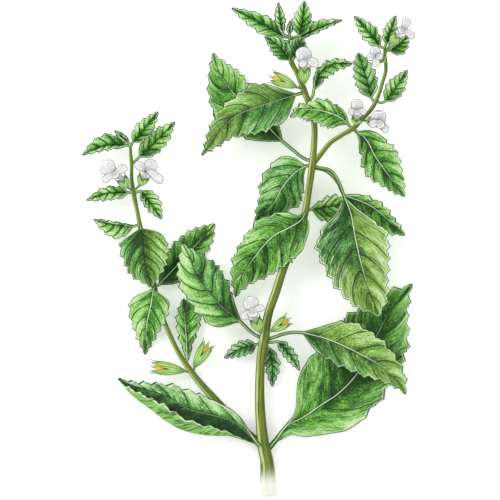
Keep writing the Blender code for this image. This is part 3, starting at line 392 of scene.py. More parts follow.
@dataclass(frozen=True)
class BladeFinish:
    """The look of leaf blades and petioles. Each green is a scale of colours from dark to light."""

    name: str
    green: Scale = LEAF_GREEN
    lime: Scale = LIME
    blue: Scale = BLUE
    vein: Colour = (36, 56, 30)
    outline: Colour = (30, 48, 28)
    pale: Colour = (226, 240, 212)
    underside: Colour = (148, 206, 110)
    petiole: Colour = (106, 156, 66)
    shaded_petiole: Colour = (58, 92, 36)
    # pale painted highlight along the petiole
    petiole_highlight: Colour = (198, 224, 168)
    roughness: float = 0.6
    hatching: float = 1.75
    grain: float = 2.7
    cloud: float = 2.4

    # Steps from none to all, by the millimetres from a lateral, from the midrib or from the margin.
    LATERAL = (0.4, 0.2)
    # painted shade beside each lateral
    LATERAL_SHADE = (0.8, 0.15)
    DARK_RIB = (0.14, -0.04)
    PALE_RIB = (0.12, -0.06)
    OUTLINE = (0.52, 0.36)
    RIM_OUTSIDE = (0.4, 0.5)
    RIM_INSIDE = (1.15, 0.9)

    def tone(self, bulge: Number, patterns: tuple[tuple[float, Number], ...]) -> Number:
        """Tone of the green: the tint's painted light and shade, painted light on the bulge between laterals,
        and each pattern, by their strengths.
        """
        tone = bulge.bench.mark("tone") * 1.4 + 0.34 * bulge - 0.28
        for strength, pattern in patterns:
            tone = tone + strength * (pattern - 0.5)
        return tone

    def material(self) -> bpy.types.Material:
        """Build the finish.

        The green runs from dark to light with the tint's painted light and shade, a hatching along the
        lateral veins, a grain, a cloud, a fine net, and painted light on the bulge between two laterals with
        painted shade next to them. The laterals are thin dark lines where their count is whole, with painted
        shade beside them, the midrib is a dark and a pale line side by side, and the margin has a dark line
        with a broken pale one inside it, partly a paler margin and partly a painted highlight. Pale strokes
        that follow the laterals in the outer half are painted highlights, and the petiole has a pale painted
        highlight along one side and painted shade at its sides.
        """
        bench = Bench(self.name)
        station, across, vein, spacing = bench.marks("station", "across", "vein", "spacing")
        margin, under, petiole, rim, rib = bench.marks("margin", "underside", "petiole", "rim", "rib")
        blade = 1.0 - petiole
        along = vein * spacing
        surface = bench.place(along, across, spacing)
        hatching = bench.noise((along * 1.3, across * 0.36, spacing), detail=3.0)
        strokes = bench.noise((along * 1.3, across * 0.22, 40.0 + spacing))
        grain = bench.noise(surface, 1.7, 4.0)
        cloud = bench.noise(surface, 0.16)
        net = bench.net(surface, 0.75)
        phase = abs((vein - 0.5).fraction() - 0.5)
        from_vein = phase * spacing
        # painted light in the middle of each panel between laterals, painted shade next to the veins
        bulge = 1.0 - ((0.5 - phase) * 2.0) ** 2.0
        tone = self.tone(bulge, ((self.hatching, hatching), (self.grain, grain), (self.cloud, cloud)))
        share = 0.5 + 0.58 * (tone - 0.14 * net.step(0.12, 0.0))
        green = bench.coats(bench.ramp(share, self.green), (
            (bench.mark("blue"), bench.ramp(share, self.blue)),
            (bench.mark("lime"), bench.ramp(share, self.lime)),
        ))
        below = bench.mix(0.2 + 0.75 * hatching.step(0.36, 0.6), green, self.underside)
        outer = abs(across) / (abs(across) + margin + 0.01)
        # pale strokes along the laterals in the outer half: painted highlights
        highlight_stroke = strokes.step(0.57, 0.66) * outer.step(0.3, 0.75) * margin.step(0.4, 0.9)
        open_blade = margin.step(0.2, 1.0) * blade
        line = from_vein.step(*self.LATERAL) * open_blade * station.step(0.98, 0.92)
        dark_rib = (abs(across - 0.2) - (0.2 - 0.06 * station)).step(*self.DARK_RIB) * blade
        pale_rib = (abs(across + 0.14) - (0.2 - 0.1 * station)).step(*self.PALE_RIB) * blade
        rib_colour = bench.mix(rib * station.step(0.95, 0.45), self.vein, self.pale)
        # pale line inside the margin: partly a paler margin, partly a painted highlight
        pale_margin_and_highlight = margin.step(*self.RIM_OUTSIDE) * margin.step(*self.RIM_INSIDE) * rim
        outline = margin.step(*self.OUTLINE) * blade * grain.step(0.28, 0.42)
        # petiole: streaky painted shade, a pale painted highlight along one side and painted shade at both
        # sides
        stalk = bench.coats(bench.mix(hatching.step(0.44, 0.62), self.petiole, self.shaded_petiole), (
            (abs(across + 0.15).step(0.34, 0.16) * 0.75, self.petiole_highlight),
            (abs(across).step(0.42, 0.62) * 0.7, self.shaded_petiole),
        ))
        green = bench.coats(green, (
            (under, below),
            # pale strokes: painted highlights
            (highlight_stroke * rim * (1.0 - under) * 0.85, self.pale),
            # painted shade beside each lateral vein, in the groove along it
            (from_vein.step(*self.LATERAL_SHADE) * open_blade * 0.25, self.vein),
            (line * (0.95 - 0.8 * under), self.vein),
            (dark_rib * 0.8, self.vein),
            (pale_rib * 0.85, rib_colour),
            # pale line inside the margin, partly a painted highlight
            (pale_margin_and_highlight * strokes.step(0.36, 0.5), self.pale),
            (outline * 0.92, self.outline),
            (petiole, stalk),
        ))
        height = net.step(0.0, 0.3) * 0.5 + hatching * 0.4 - line * 0.6 + under * line * 1.4
        return bench.finish(green, self.roughness + 0.3 * (grain - 0.5), height, 0.2, 0.12)


@dataclass(frozen=True)
class StemFinish:
    """The look of the square stems: olive, with a pale painted highlight along one side, dark streaks, a
    painted shadow along another side, painted shade at both flanks, and fine fibres.
    """

    name: str = "olive_stem"
    olive: Colour = (128, 134, 40)
    pale: Colour = (190, 214, 140)
    dark: Colour = (66, 84, 26)
    green: Colour = (100, 134, 48)
    young: Colour = (92, 128, 44)
    faded: Colour = (238, 241, 229)
    rind: Colour = (150, 168, 92)
    pith: Colour = (226, 232, 190)

    # angle round the stem of the pale painted highlight, on the side facing the key light
    HIGHLIGHT_TURN = 2.1
    SHADOW = 0.75

    def material(self) -> bpy.types.Material:
        """Build the finish from the angle round the stem and the distance along it."""
        bench = Bench(self.name)
        along, turn, cut = bench.marks("along", "turn", "cut")
        fibres = bench.noise((turn * 5.0, along * 0.09, 3.0), detail=4.0)
        streaks = bench.noise((turn * 2.0, along * 0.045, 9.0))
        fine = bench.noise((turn * 16.0, along * 0.5, 5.0))
        shadow = abs(turn - self.SHADOW).step(0.55, 0.25) * (0.4 + 0.6 * fine.step(0.35, 0.55))
        # pale painted highlight along the side of the stem facing the light
        highlight_stripe = abs(turn - self.HIGHLIGHT_TURN).step(0.22, 0.1) * (fibres + streaks).step(0.84, 0.96)
        bark = bench.mix((fibres + 0.5 * (fine - 0.5)).step(0.34, 0.6), self.dark, self.olive)
        bark = bench.coats(bark, (
            (streaks.step(0.54, 0.68) * 0.6, self.green),
            # darker at the stem's two flanks: painted shade
            (abs(abs(turn) - math.pi / 2).step(0.9, 1.45) * 0.7, self.dark),
            (shadow * 0.8, self.dark),
            (highlight_stripe * 0.85, self.pale),
            (bench.mark("young") * 0.5, self.young),
            (along.step(7.0, -3.0) * 0.88, self.faded),
            (cut.step(0.02, 0.12), bench.mix(cut.step(0.5, 0.75), self.rind, self.pith)),
        ))
        return bench.finish(bark, 0.5 + 0.3 * (fibres - 0.5), fibres + 0.4 * fine, 0.16, 0.3)


@dataclass(frozen=True)
class CalyxFinish:
    """The look of the calyces: pale yellow-green with darker ribs, edges and foot, and paler inside."""

    name: str = "ribbed_calyx"
    pale: Colour = (190, 224, 142)
    green: Colour = (146, 196, 94)
    foot: Colour = (92, 136, 52)
    dark: Colour = (56, 84, 38)
    inside: Colour = (206, 226, 176)

    def material(self) -> bpy.types.Material:
        """Build the finish from the height along the calyx, the rib count round it and the rim's distance."""
        bench = Bench(self.name)
        height, ribs, rim = bench.marks("height", "ribs", "rim")
        grain = bench.noise((ribs * 1.4, height * 3.0), 1.6, 3.0)
        streak = bench.noise((ribs * 1.6, height * 2.0, 4.0), detail=3.0)
        gap = abs((ribs - 0.5).fraction() - 0.5)
        colour = bench.mix((streak + 0.4 * (grain - 0.5)).step(0.4, 0.6), self.green, self.pale)
        colour = bench.coats(colour, (
            (height.step(0.4, 0.0) * 0.75, self.foot),
            (gap.step(0.15, 0.03) * height.step(0.02, 0.16) * 0.75, self.dark),
            (rim.step(0.5, 0.22) * 0.85, self.dark),
            (bench.mark("inside") * 0.6, self.inside),
        ))
        height = 0.6 * gap.step(0.0, 0.2) + 0.4 * grain
        return bench.finish(colour, 0.6 + 0.2 * (grain - 0.5), height, 0.16, 0.25)


@dataclass(frozen=True)
class PetalFinish:
    """The look of the corollas: white with soft grey painted shade, darker painted shade towards the throat,
    fine veins and a thin warm grey edge.
    """

    name: str = "white_petal"
    white: Colour = (246, 246, 246)
    shade: Colour = (206, 206, 209)
    edge: Colour = (142, 140, 132)
    # grey painted shade in the throat
    throat: Colour = (176, 178, 170)

    def material(self) -> bpy.types.Material:
        """Build the finish from the distance along and across each petal and from its margin."""
        bench = Bench(self.name)
        along, across, margin = bench.marks("along", "across", "margin")
        veins = bench.noise((across * 2.2, along * 0.3), detail=3.0)
        cloud = bench.noise((across, along, 2.0), 0.4, 2.0)
        shade = (veins.step(0.42, 0.6) * 0.45 + cloud.step(0.34, 0.56) * 0.75) * margin.step(0.5, 1.1)
        colour = bench.coats(bench.mix(shade, self.white, self.shade), (
            # darker towards the throat: painted shade
            (along.step(3.0, 0.4) * 0.55, self.throat),
            (margin.step(0.6, 0.36) * 0.9, self.edge),
        ))
        return bench.finish(colour, 0.65 + 0.1 * (cloud - 0.5), veins, 0.08, 0.25)


@dataclass(frozen=True)
class NutletFinish:
    """The look of the ripe nutlets: golden, with darker spots."""

    name: str = "golden_nutlet"
    gold: Colour = (240, 196, 62)
    brown: Colour = (222, 168, 46)

    def material(self) -> bpy.types.Material:
        """Build the finish from noise in the object's own space."""
        bench = Bench(self.name)
        spots = bench.noise(bench.space(), 1400.0, 3.0)
        colour = bench.mix(spots.step(0.46, 0.66), self.gold, self.brown)
        return bench.finish(colour, 0.45 + 0.2 * (spots - 0.5), spots, 0.08, 0.35)


@dataclass(frozen=True)
class FloorFinish:
    """The look of the pale surface under the sprig."""

    name: str = "pale_floor"
    white: Colour = (250, 250, 250)
    glow: float = 0.27

    def material(self) -> bpy.types.Material:
        """Build a plain matt white that glows a little, as a light table does."""
        bench = Bench(self.name)
        bench.shader.inputs["Emission Color"].default_value = paint(self.white)
        bench.shader.inputs["Emission Strength"].default_value = self.glow
        return bench.finish(paint(self.white), 0.9, bench.noise(bench.space(), 900.0), 0.01)


class Kind(Enum):
    """What a leaf is coloured as, by the name of its slot."""

    GREEN = "leaf"
    DARK = "dark_leaf"
    YOUNG = "young_leaf"


class Build(Enum):
    """How finely a blade's grid is made: its rows for each tooth and its places across."""

    LARGE = (12, 45)
    SMALL = (11, 29)


@dataclass(frozen=True)
class Tint:
    """How one blade is painted.

    Tones run from -1, dark, to 1, light, and paint light and shade on the blade: painted light and
    shade for the left and the right side, painted shade at the base and along the midrib, painted light
    towards the margin, and a tone at the tip. Lime and blue are shares of a wash from 0 to 1, on the left
    side, the right side and the tip. The rib's share is 1 for a pale midrib and 0 for a dark one, and the
    rim's is how strongly the pale lines near the margin show, which are partly a paler margin and partly
    painted highlights. A shade is a painted shadow band across the blade, as under a leaf lying over it,
    given by its station, its reach along and its tone.
    """

    # tones of painted light and shade: the sides, the ends, along the midrib and towards the margin
    left: float = 0.15
    right: float = -0.1
    base: float = -0.2
    tip: float = 0.1
    midrib_shade: float = -0.35
    edge: float = 0.3
    lime: tuple[float, float, float] = (0.0, 0.0, 0.0)
    blue: tuple[float, float, float] = (0.0, 0.0, 0.0)
    rib: float = 1.0
    rim: float = 0.35
    # a painted shadow band: station, reach along and tone
    shade: tuple[float, float, float] = (0.5, 0.2, 0.0)

    def tone(self, station: Grid, place: Grid) -> Grid:
        """Painted light and shade at a station along and a place across: the sum of what the sides, the ends,
        the midrib's shade, the margin's light and the shadow band give.
        """
        left = smooth(-place, -0.15, 0.35)
        body = self.left * left + self.right * (1.0 - left)
        ends = self.base * (1.0 - smooth(station, 0.0, 0.45)) + self.tip * smooth(station, 0.6, 1.0)
        # painted shadow band across the blade
        centre, reach, depth = self.shade
        shade = depth * np.exp(-(((station - centre) / reach) ** 2))
        # painted shade along the midrib, and painted light towards the margin
        midrib_shade = self.midrib_shade * np.exp(-((place / 0.3) ** 2))
        return body + ends + shade + midrib_shade + self.edge * np.abs(place) ** 3

    def wash(self, shares: tuple[float, float, float], station: Grid, place: Grid) -> Grid:
        """Share of a wash of colour given for the left side, the right side and the tip."""
        left = smooth(-place, -0.25, 0.3)
        side = (shares[0] * left + shares[1] * (1.0 - left)) * smooth(station, 0.0, 0.25)
        return np.clip(np.maximum(side, shares[2] * smooth(station, 0.35, 0.75)), 0.0, 1.0)


@dataclass(frozen=True)
class Leaf:
    """One leaf, from its stem's axis to its tip. Its blade starts at point number base of the path.

    The sides are rows of half widths, for the left and the right of the midrib or one for both, and
    plain is the share of each margin, counted from the base, that has no teeth.
    """

    node: str
    path: tuple[Point, ...]
    base: int
    sides: tuple[tuple[float, ...], ...]
    teeth: int
    left_slope: float = -0.2
    right_slope: float = -0.2
    tooth_depth: float = 1.5
    petiole: float = 0.85
    build: Build = Build.LARGE
    curl: float = 0.0
    rests: bool = False
    kind: Kind = Kind.GREEN
    laterals: float = 5.5
    tint: Tint = Tint()
    plain: tuple[float, float] = (0.16, 0.16)

    TOOTH_PEAK = 0.65
    TOOTH_INSET = 0.7
    TOOTH_SIZE = 1.25
    NICKS = 2
    TIP = 0.3
    SLANT = 0.1
    LATERAL_SLANT = 1.15
    BULGE = 0.22
    GROOVE = 0.3
    RELIEF = 0.2
    CURL_HEIGHT = 2.4
    CURL_PLACE = 0.62
    FLAP_STRETCH = 2.6
    FLOOR = 0.34
    HALF_THICKNESS = 0.2
    KEEL = 0.5
    WIDTH_STATIONS = (0.0, 0.1, 0.3, 0.5, 0.7, 0.9, 1.0)
    PETIOLE_RINGS = 14
    SMALL_TONE = 0.14
    SMALL_RIM = 1.2

    def places(self) -> Grid:
        """Places across the blade from -1 to 1, closer together near the margins."""
        x = np.linspace(-1.0, 1.0, self.build.value[1])
        return 0.6 * x + 0.4 * np.sin(x * math.pi / 2)

    def stations(self) -> Grid:
        """Stations along the blade, the same number for each tooth."""
        return np.linspace(0.0, 1.0, self.teeth * self.build.value[0] + 1)

    def teeth_at(self, t: Grid) -> Grid:
        """Height of the teeth, which rise slowly over nicks, fall fast towards the tip and differ in size."""
        phase = (t * self.teeth) % 1.0
        climb = np.clip(phase / self.TOOTH_PEAK, 0.0, 1.0)
        fall = np.clip((1.0 - phase) / (1.0 - self.TOOTH_PEAK), 0.0, 1.0) ** 1.2
        own = 0.95 + 0.14 * np.sin(np.floor(t * self.teeth) * 2.4 + len(self.node))
        rise = 0.7 * climb**0.8 + 0.3 * (climb * self.NICKS % 1.0) ** 2
        return np.where(phase < self.TOOTH_PEAK, rise, fall) * own

    def surface(self) -> tuple[Grid, Marks]:
        """Work out the middle surface of the blade and its marks.

        The point at station t and place s lies on the midrib at u = t + slant * |s|^1.2 *
        sin(pi t)^0.8, moved sideways in plan by |s| times the toothed half width there. Its height
        is the midrib's, plus the side's slope times that reach, plus the bulge between the laterals
        and the waves of the margin, less the groove over the midrib, and it bends to stay above the
        floor. Laterals are where the vein count is whole: it grows along the blade and falls
        outwards, so the laterals run towards the tip.

        Returns:
            The points, as stations by places by 3, and the marks, as stations by places.
        """
        path = np.asarray(self.path[self.base:], dtype=float)
        lengths = plan_lengths(path)
        t, s = np.meshgrid(self.stations(), self.places(), indexing="ij")
        u = np.clip(t + self.SLANT * np.abs(s) ** 1.2 * np.sin(np.pi * t) ** 0.8, 0.0, 1.0)

        def along(offset: float) -> Grid:
            """Point of the midrib a little further on."""
            return through(lengths, path, np.clip(u + offset, 0, 1) * lengths[-1])

        spine = along(0.0)
        heading = along(0.01) - along(-0.01)
        norm = np.hypot(heading[..., 0], heading[..., 1])
        across = np.stack((heading[..., 1] / norm, -heading[..., 0] / norm), axis=-1)
        pair = (self.sides[0], self.sides[-1])
        widths = [through(self.WIDTH_STATIONS, (self.petiole, *side, self.TIP), u) for side in pair]
        width = np.maximum(np.where(s < 0, *widths), self.TIP)
        size = self.tooth_depth * self.TOOTH_SIZE * np.clip(width / 3.0, 0.15, 1.0) * (t > 0) * (t < 1)
        size = size * np.where(s < 0, *[smooth(t, 0.8 * end, 1.25 * end) for end in self.plain])
        toothed = np.maximum(width + size * (self.teeth_at(t) - self.TOOTH_INSET), self.TIP)
        reach = np.abs(s) * toothed
        lift = np.zeros_like(reach)
        if self.curl > 0:
            reach, lift = self.curled(t, s, width, size, reach)
        share = np.clip(reach / width, 0.0, 1.0)
        length = float(true_lengths(path)[-1])
        slant = self.LATERAL_SLANT * sum(max(side) for side in pair) / 2 / length
        side_shift = np.where(s < 0, 0.0, 0.3) * smooth(share, 0.0, 0.08)
        vein = self.laterals * (u - slant * share**1.3) + 0.5 + side_shift
        inner = smooth(share, 0.02, 0.3) * (1.0 - share**4)
        bulge = self.BULGE * np.clip(width / 9.0, 0.0, 1.0) * np.sin(np.pi * vein) ** 2 * inner
        groove = self.GROOVE * np.exp(-((reach / 0.55) ** 2)) * np.clip(width / 6.0, 0.0, 1.0)
        groove = groove * smooth(t, 0.0, 0.06)
        relief = self.RELIEF * np.sin(np.pi * t) * share * np.cos(2 * np.pi * ((t * self.teeth) % 1.0))
        slope = np.where(s < 0, self.left_slope, self.right_slope)
        rise = slope * reach * np.clip(reach / 4.0, 0.3, 1.0) + lift
        excess = spine[..., 2] + rise + bulge - groove + relief - self.FLOOR
        height = self.FLOOR + 0.5 * (excess + np.sqrt(excess**2 + 0.25))
        signed = np.sign(s) * reach
        place = np.sign(s) * share
        stretch = np.where((s < 0) & (self.curl > 0), self.FLAP_STRETCH, 1.0)
        large = self.build is Build.LARGE
        marks = {
            "station": u,
            "across": signed,
            "vein": vein,
            "spacing": np.full_like(u, length / self.laterals),
            "margin": (1.0 - np.abs(s)) * toothed * stretch,
            # painted light and shade from the tint; small leaves are lighter overall
            "tone": self.tint.tone(u, place) + (0.0 if large else self.SMALL_TONE),
            "lime": self.tint.wash(self.tint.lime, u, place),
            "blue": self.tint.wash(self.tint.blue, u, place),
            "rib": np.full_like(u, self.tint.rib if large else 0.0),
            "rim": np.full_like(u, self.tint.rim * (1.0 if large else self.SMALL_RIM)),
            "petiole": 1.0 - smooth(t, 0.0, 0.035),
        }
        plan = spine[..., :2] + across * signed[..., None]
        return np.concatenate((plan, height[..., None]), axis=-1), marks

    def curled(self, t: Grid, s: Grid, width: Grid, size: Grid, reach: Grid) -> tuple[Grid, Grid]:
        """Fold the left margin up and back over the blade.

        From the curl's place to about -0.8 the blade reaches its full width and turns up, and from
        there to -1 it comes back above itself by the curl's size, rising evenly all the way.

        Args:
            t: Stations.
            s: Places.
            width: Half widths without teeth.
            size: Sizes of the teeth.
            reach: Reaches of the flat blade.

        Returns:
            The new reaches and how far each point is lifted.
        """
        body = np.sin(np.pi * t) ** 0.5
        turn = np.clip((-s - self.CURL_PLACE) / (1.0 - self.CURL_PLACE), 0.0, 1.0)
        outer = width - 0.5
        inner = width - self.curl * body + size * (0.45 - self.teeth_at(t))
        rising = outer + 0.5 * np.sin(np.clip(turn / 0.48, 0, 1) * np.pi / 2)
        back = width + (inner - width) * (turn - 0.48) / 0.52
        folded = np.where(turn <= 0.48, rising, back) * body + np.abs(s) * width * (1.0 - body)
        flat = np.abs(s) / self.CURL_PLACE * outer
        new_reach = np.where(s < 0, np.where(s < -self.CURL_PLACE, folded, flat), reach)
        return new_reach, self.CURL_HEIGHT * body * turn

    def shell(self) -> Shell:
        """Close the leaf: round rings along the petiole that flatten into the blade's two faces."""
        s = self.places()
        middle, marks = self.surface()
        normals = unit(np.cross(np.gradient(middle, axis=1), np.gradient(middle, axis=0)))
        t = self.stations()[:, None]
        thin = smooth(t * float(plan_lengths(self.path[self.base:])[-1]), 0.0, 6.0)
        round_half = self.petiole * np.sqrt(1.0 - s**2)[None, :]
        half = self.HALF_THICKNESS * (0.45 + 0.55 * (1.0 - np.abs(s) ** 6))[None, :]
        keel = self.KEEL * (1.0 - t) * np.exp(-((marks["across"] / 0.6) ** 2))
        upper = middle + normals * (round_half * (1 - thin) + half * thin)[..., None]
        lower = middle - normals * (round_half * (1 - thin) + (half + keel) * thin)[..., None]
        blade = two_faced(upper, lower)
        blade[..., 2] = np.maximum(blade[..., 2], 0.0)
        if self.rests:
            blade[..., 2] -= blade[..., 2].min() * np.clip(2.0 * t, 0.0, 1.0)

        start = np.asarray(self.path[:self.base + 2], dtype=float)
        lengths = true_lengths(start)
        stops = np.linspace(0.0, lengths[self.base], self.PETIOLE_RINGS)[:-1]
        spine = through(lengths, start, stops)
        heading = unit(through(lengths, start, stops + 0.3) - spine)
        side = unit(np.stack((heading[:, 1], -heading[:, 0], np.zeros(len(heading))), axis=1))
        up = np.cross(side, heading)
        ring_s = np.concatenate((s, s[::-1]))
        ring_up = np.concatenate((np.sqrt(1.0 - s**2), -np.sqrt(1.0 - s[::-1] ** 2)))
        rings = (
            spine[:, None, :]
            + side[:, None, :] * (self.petiole * ring_s)[None, :, None]
            + up[:, None, :] * (self.petiole * ring_up)[None, :, None]
        )
        stalk = len(rings)
        rows = np.concatenate((np.zeros(stalk, dtype=int), np.arange(len(blade))))
        whole = {name: two_faced(values[rows], values[rows]) for name, values in marks.items()}
        whole["margin"][:stalk] = FAR
        whole["petiole"][:stalk] = 1.0
        whole["underside"] = np.broadcast_to(np.repeat((0.0, 1.0), len(s)), (len(rows), 2 * len(s)))
        return Shell.of_rings(np.concatenate((rings, blade), axis=0), whole)


@dataclass(frozen=True)
class Stem:
    """A square stem, given by x, y, z and radius along its axis."""

    node: str
    table: tuple[tuple[float, float, float, float], ...]
    young: float = 0.0

    STEP = 0.55
    SIDES = 56
    RIDGE = 0.07
    CHANNEL = 0.09
    CAP = (0.08, 0.4, 0.7, 0.9, 0.98)
    BULGE = 0.25
    FADE = 8.0
    SHOOT_START = 40.0

    def axis(self) -> tuple[Grid, Grid]:
        """Distances along the axis, and the axis with its radius at each of them."""
        table = np.asarray(self.table, dtype=float)
        lengths = plan_lengths(table)
        stops = np.linspace(0.0, lengths[-1], int(lengths[-1] / self.STEP))
        return stops, through(lengths, table, stops)

    def shell(self) -> Shell:
        """Carry a square with rounded, ridged corners and channelled sides along the axis.

        At the angle a the radius is 0.97 r / (|cos a|^4 + |sin a|^4)^(1/4), plus a ridge of 7% at each
        corner, less a channel of 9% in the middle of each side. Rings that shrink close each end, and
        the first end bulges a little. The mark along counts from where the fading of the cut end is
        half done, and a shoot starts beyond it.
        """
        stops, axis = self.axis()
        main = self.node == "main_stem"
        heading = unit(np.gradient(axis[:, :2], axis=0))
        side = np.stack((heading[:, 1], -heading[:, 0], np.zeros(len(axis))), axis=1)
        angles = -np.linspace(0.0, 2 * math.pi, self.SIDES, endpoint=False)
        square = (np.cos(angles) ** 4 + np.sin(angles) ** 4) ** -0.25
        ridge, channel = self.RIDGE * np.sin(2 * angles) ** 16, self.CHANNEL * np.cos(2 * angles) ** 4
        profile = square * 0.97 + ridge - channel
        fibre = 1.0 + 0.012 * np.sin(9 * angles[None, :] + 0.06 * stops[:, None])
        radius = axis[:, 3:4] * profile[None, :] * fibre
        rings = axis[:, None, :3] + side[:, None, :] * (radius * np.cos(angles))[..., None]
        rings[..., 2] += radius * np.sin(angles)
        cap_shares = np.array(self.CAP)
        caps = [
            axis[end, None, None, :3] + (rings[end][None] - axis[end, None, None, :3]) * shares[:, None, None]
            for end, shares in ((0, cap_shares), (-1, cap_shares[::-1]))
        ]
        outward = np.concatenate((-side[:1, [1]], side[:1, [0]], [[0.0]]), axis=1)
        caps[0] = caps[0] + outward * self.BULGE * (1.0 - cap_shares[:, None, None])
        distances = np.concatenate((np.zeros(len(cap_shares)), stops, np.full(len(cap_shares), stops[-1])))
        shape = (len(distances), self.SIDES)
        start = (0.0 if main else self.SHOOT_START) - self.FADE
        cut = np.zeros(shape)
        if main:
            cut[:len(cap_shares)] = (1.0 - cap_shares)[:, None]
        marks = {
            "along": np.broadcast_to(distances[:, None] + start, shape),
            "turn": np.broadcast_to(np.arctan2(np.sin(angles), np.cos(angles))[None, :], shape),
            "cut": cut,
            "young": np.full(shape, self.young) + 0.4 * smooth(distances / distances[-1], 0.55, 1.0)[:, None],
        }
        return Shell.of_rings(np.concatenate((caps[0], rings, caps[1]), axis=0), marks)


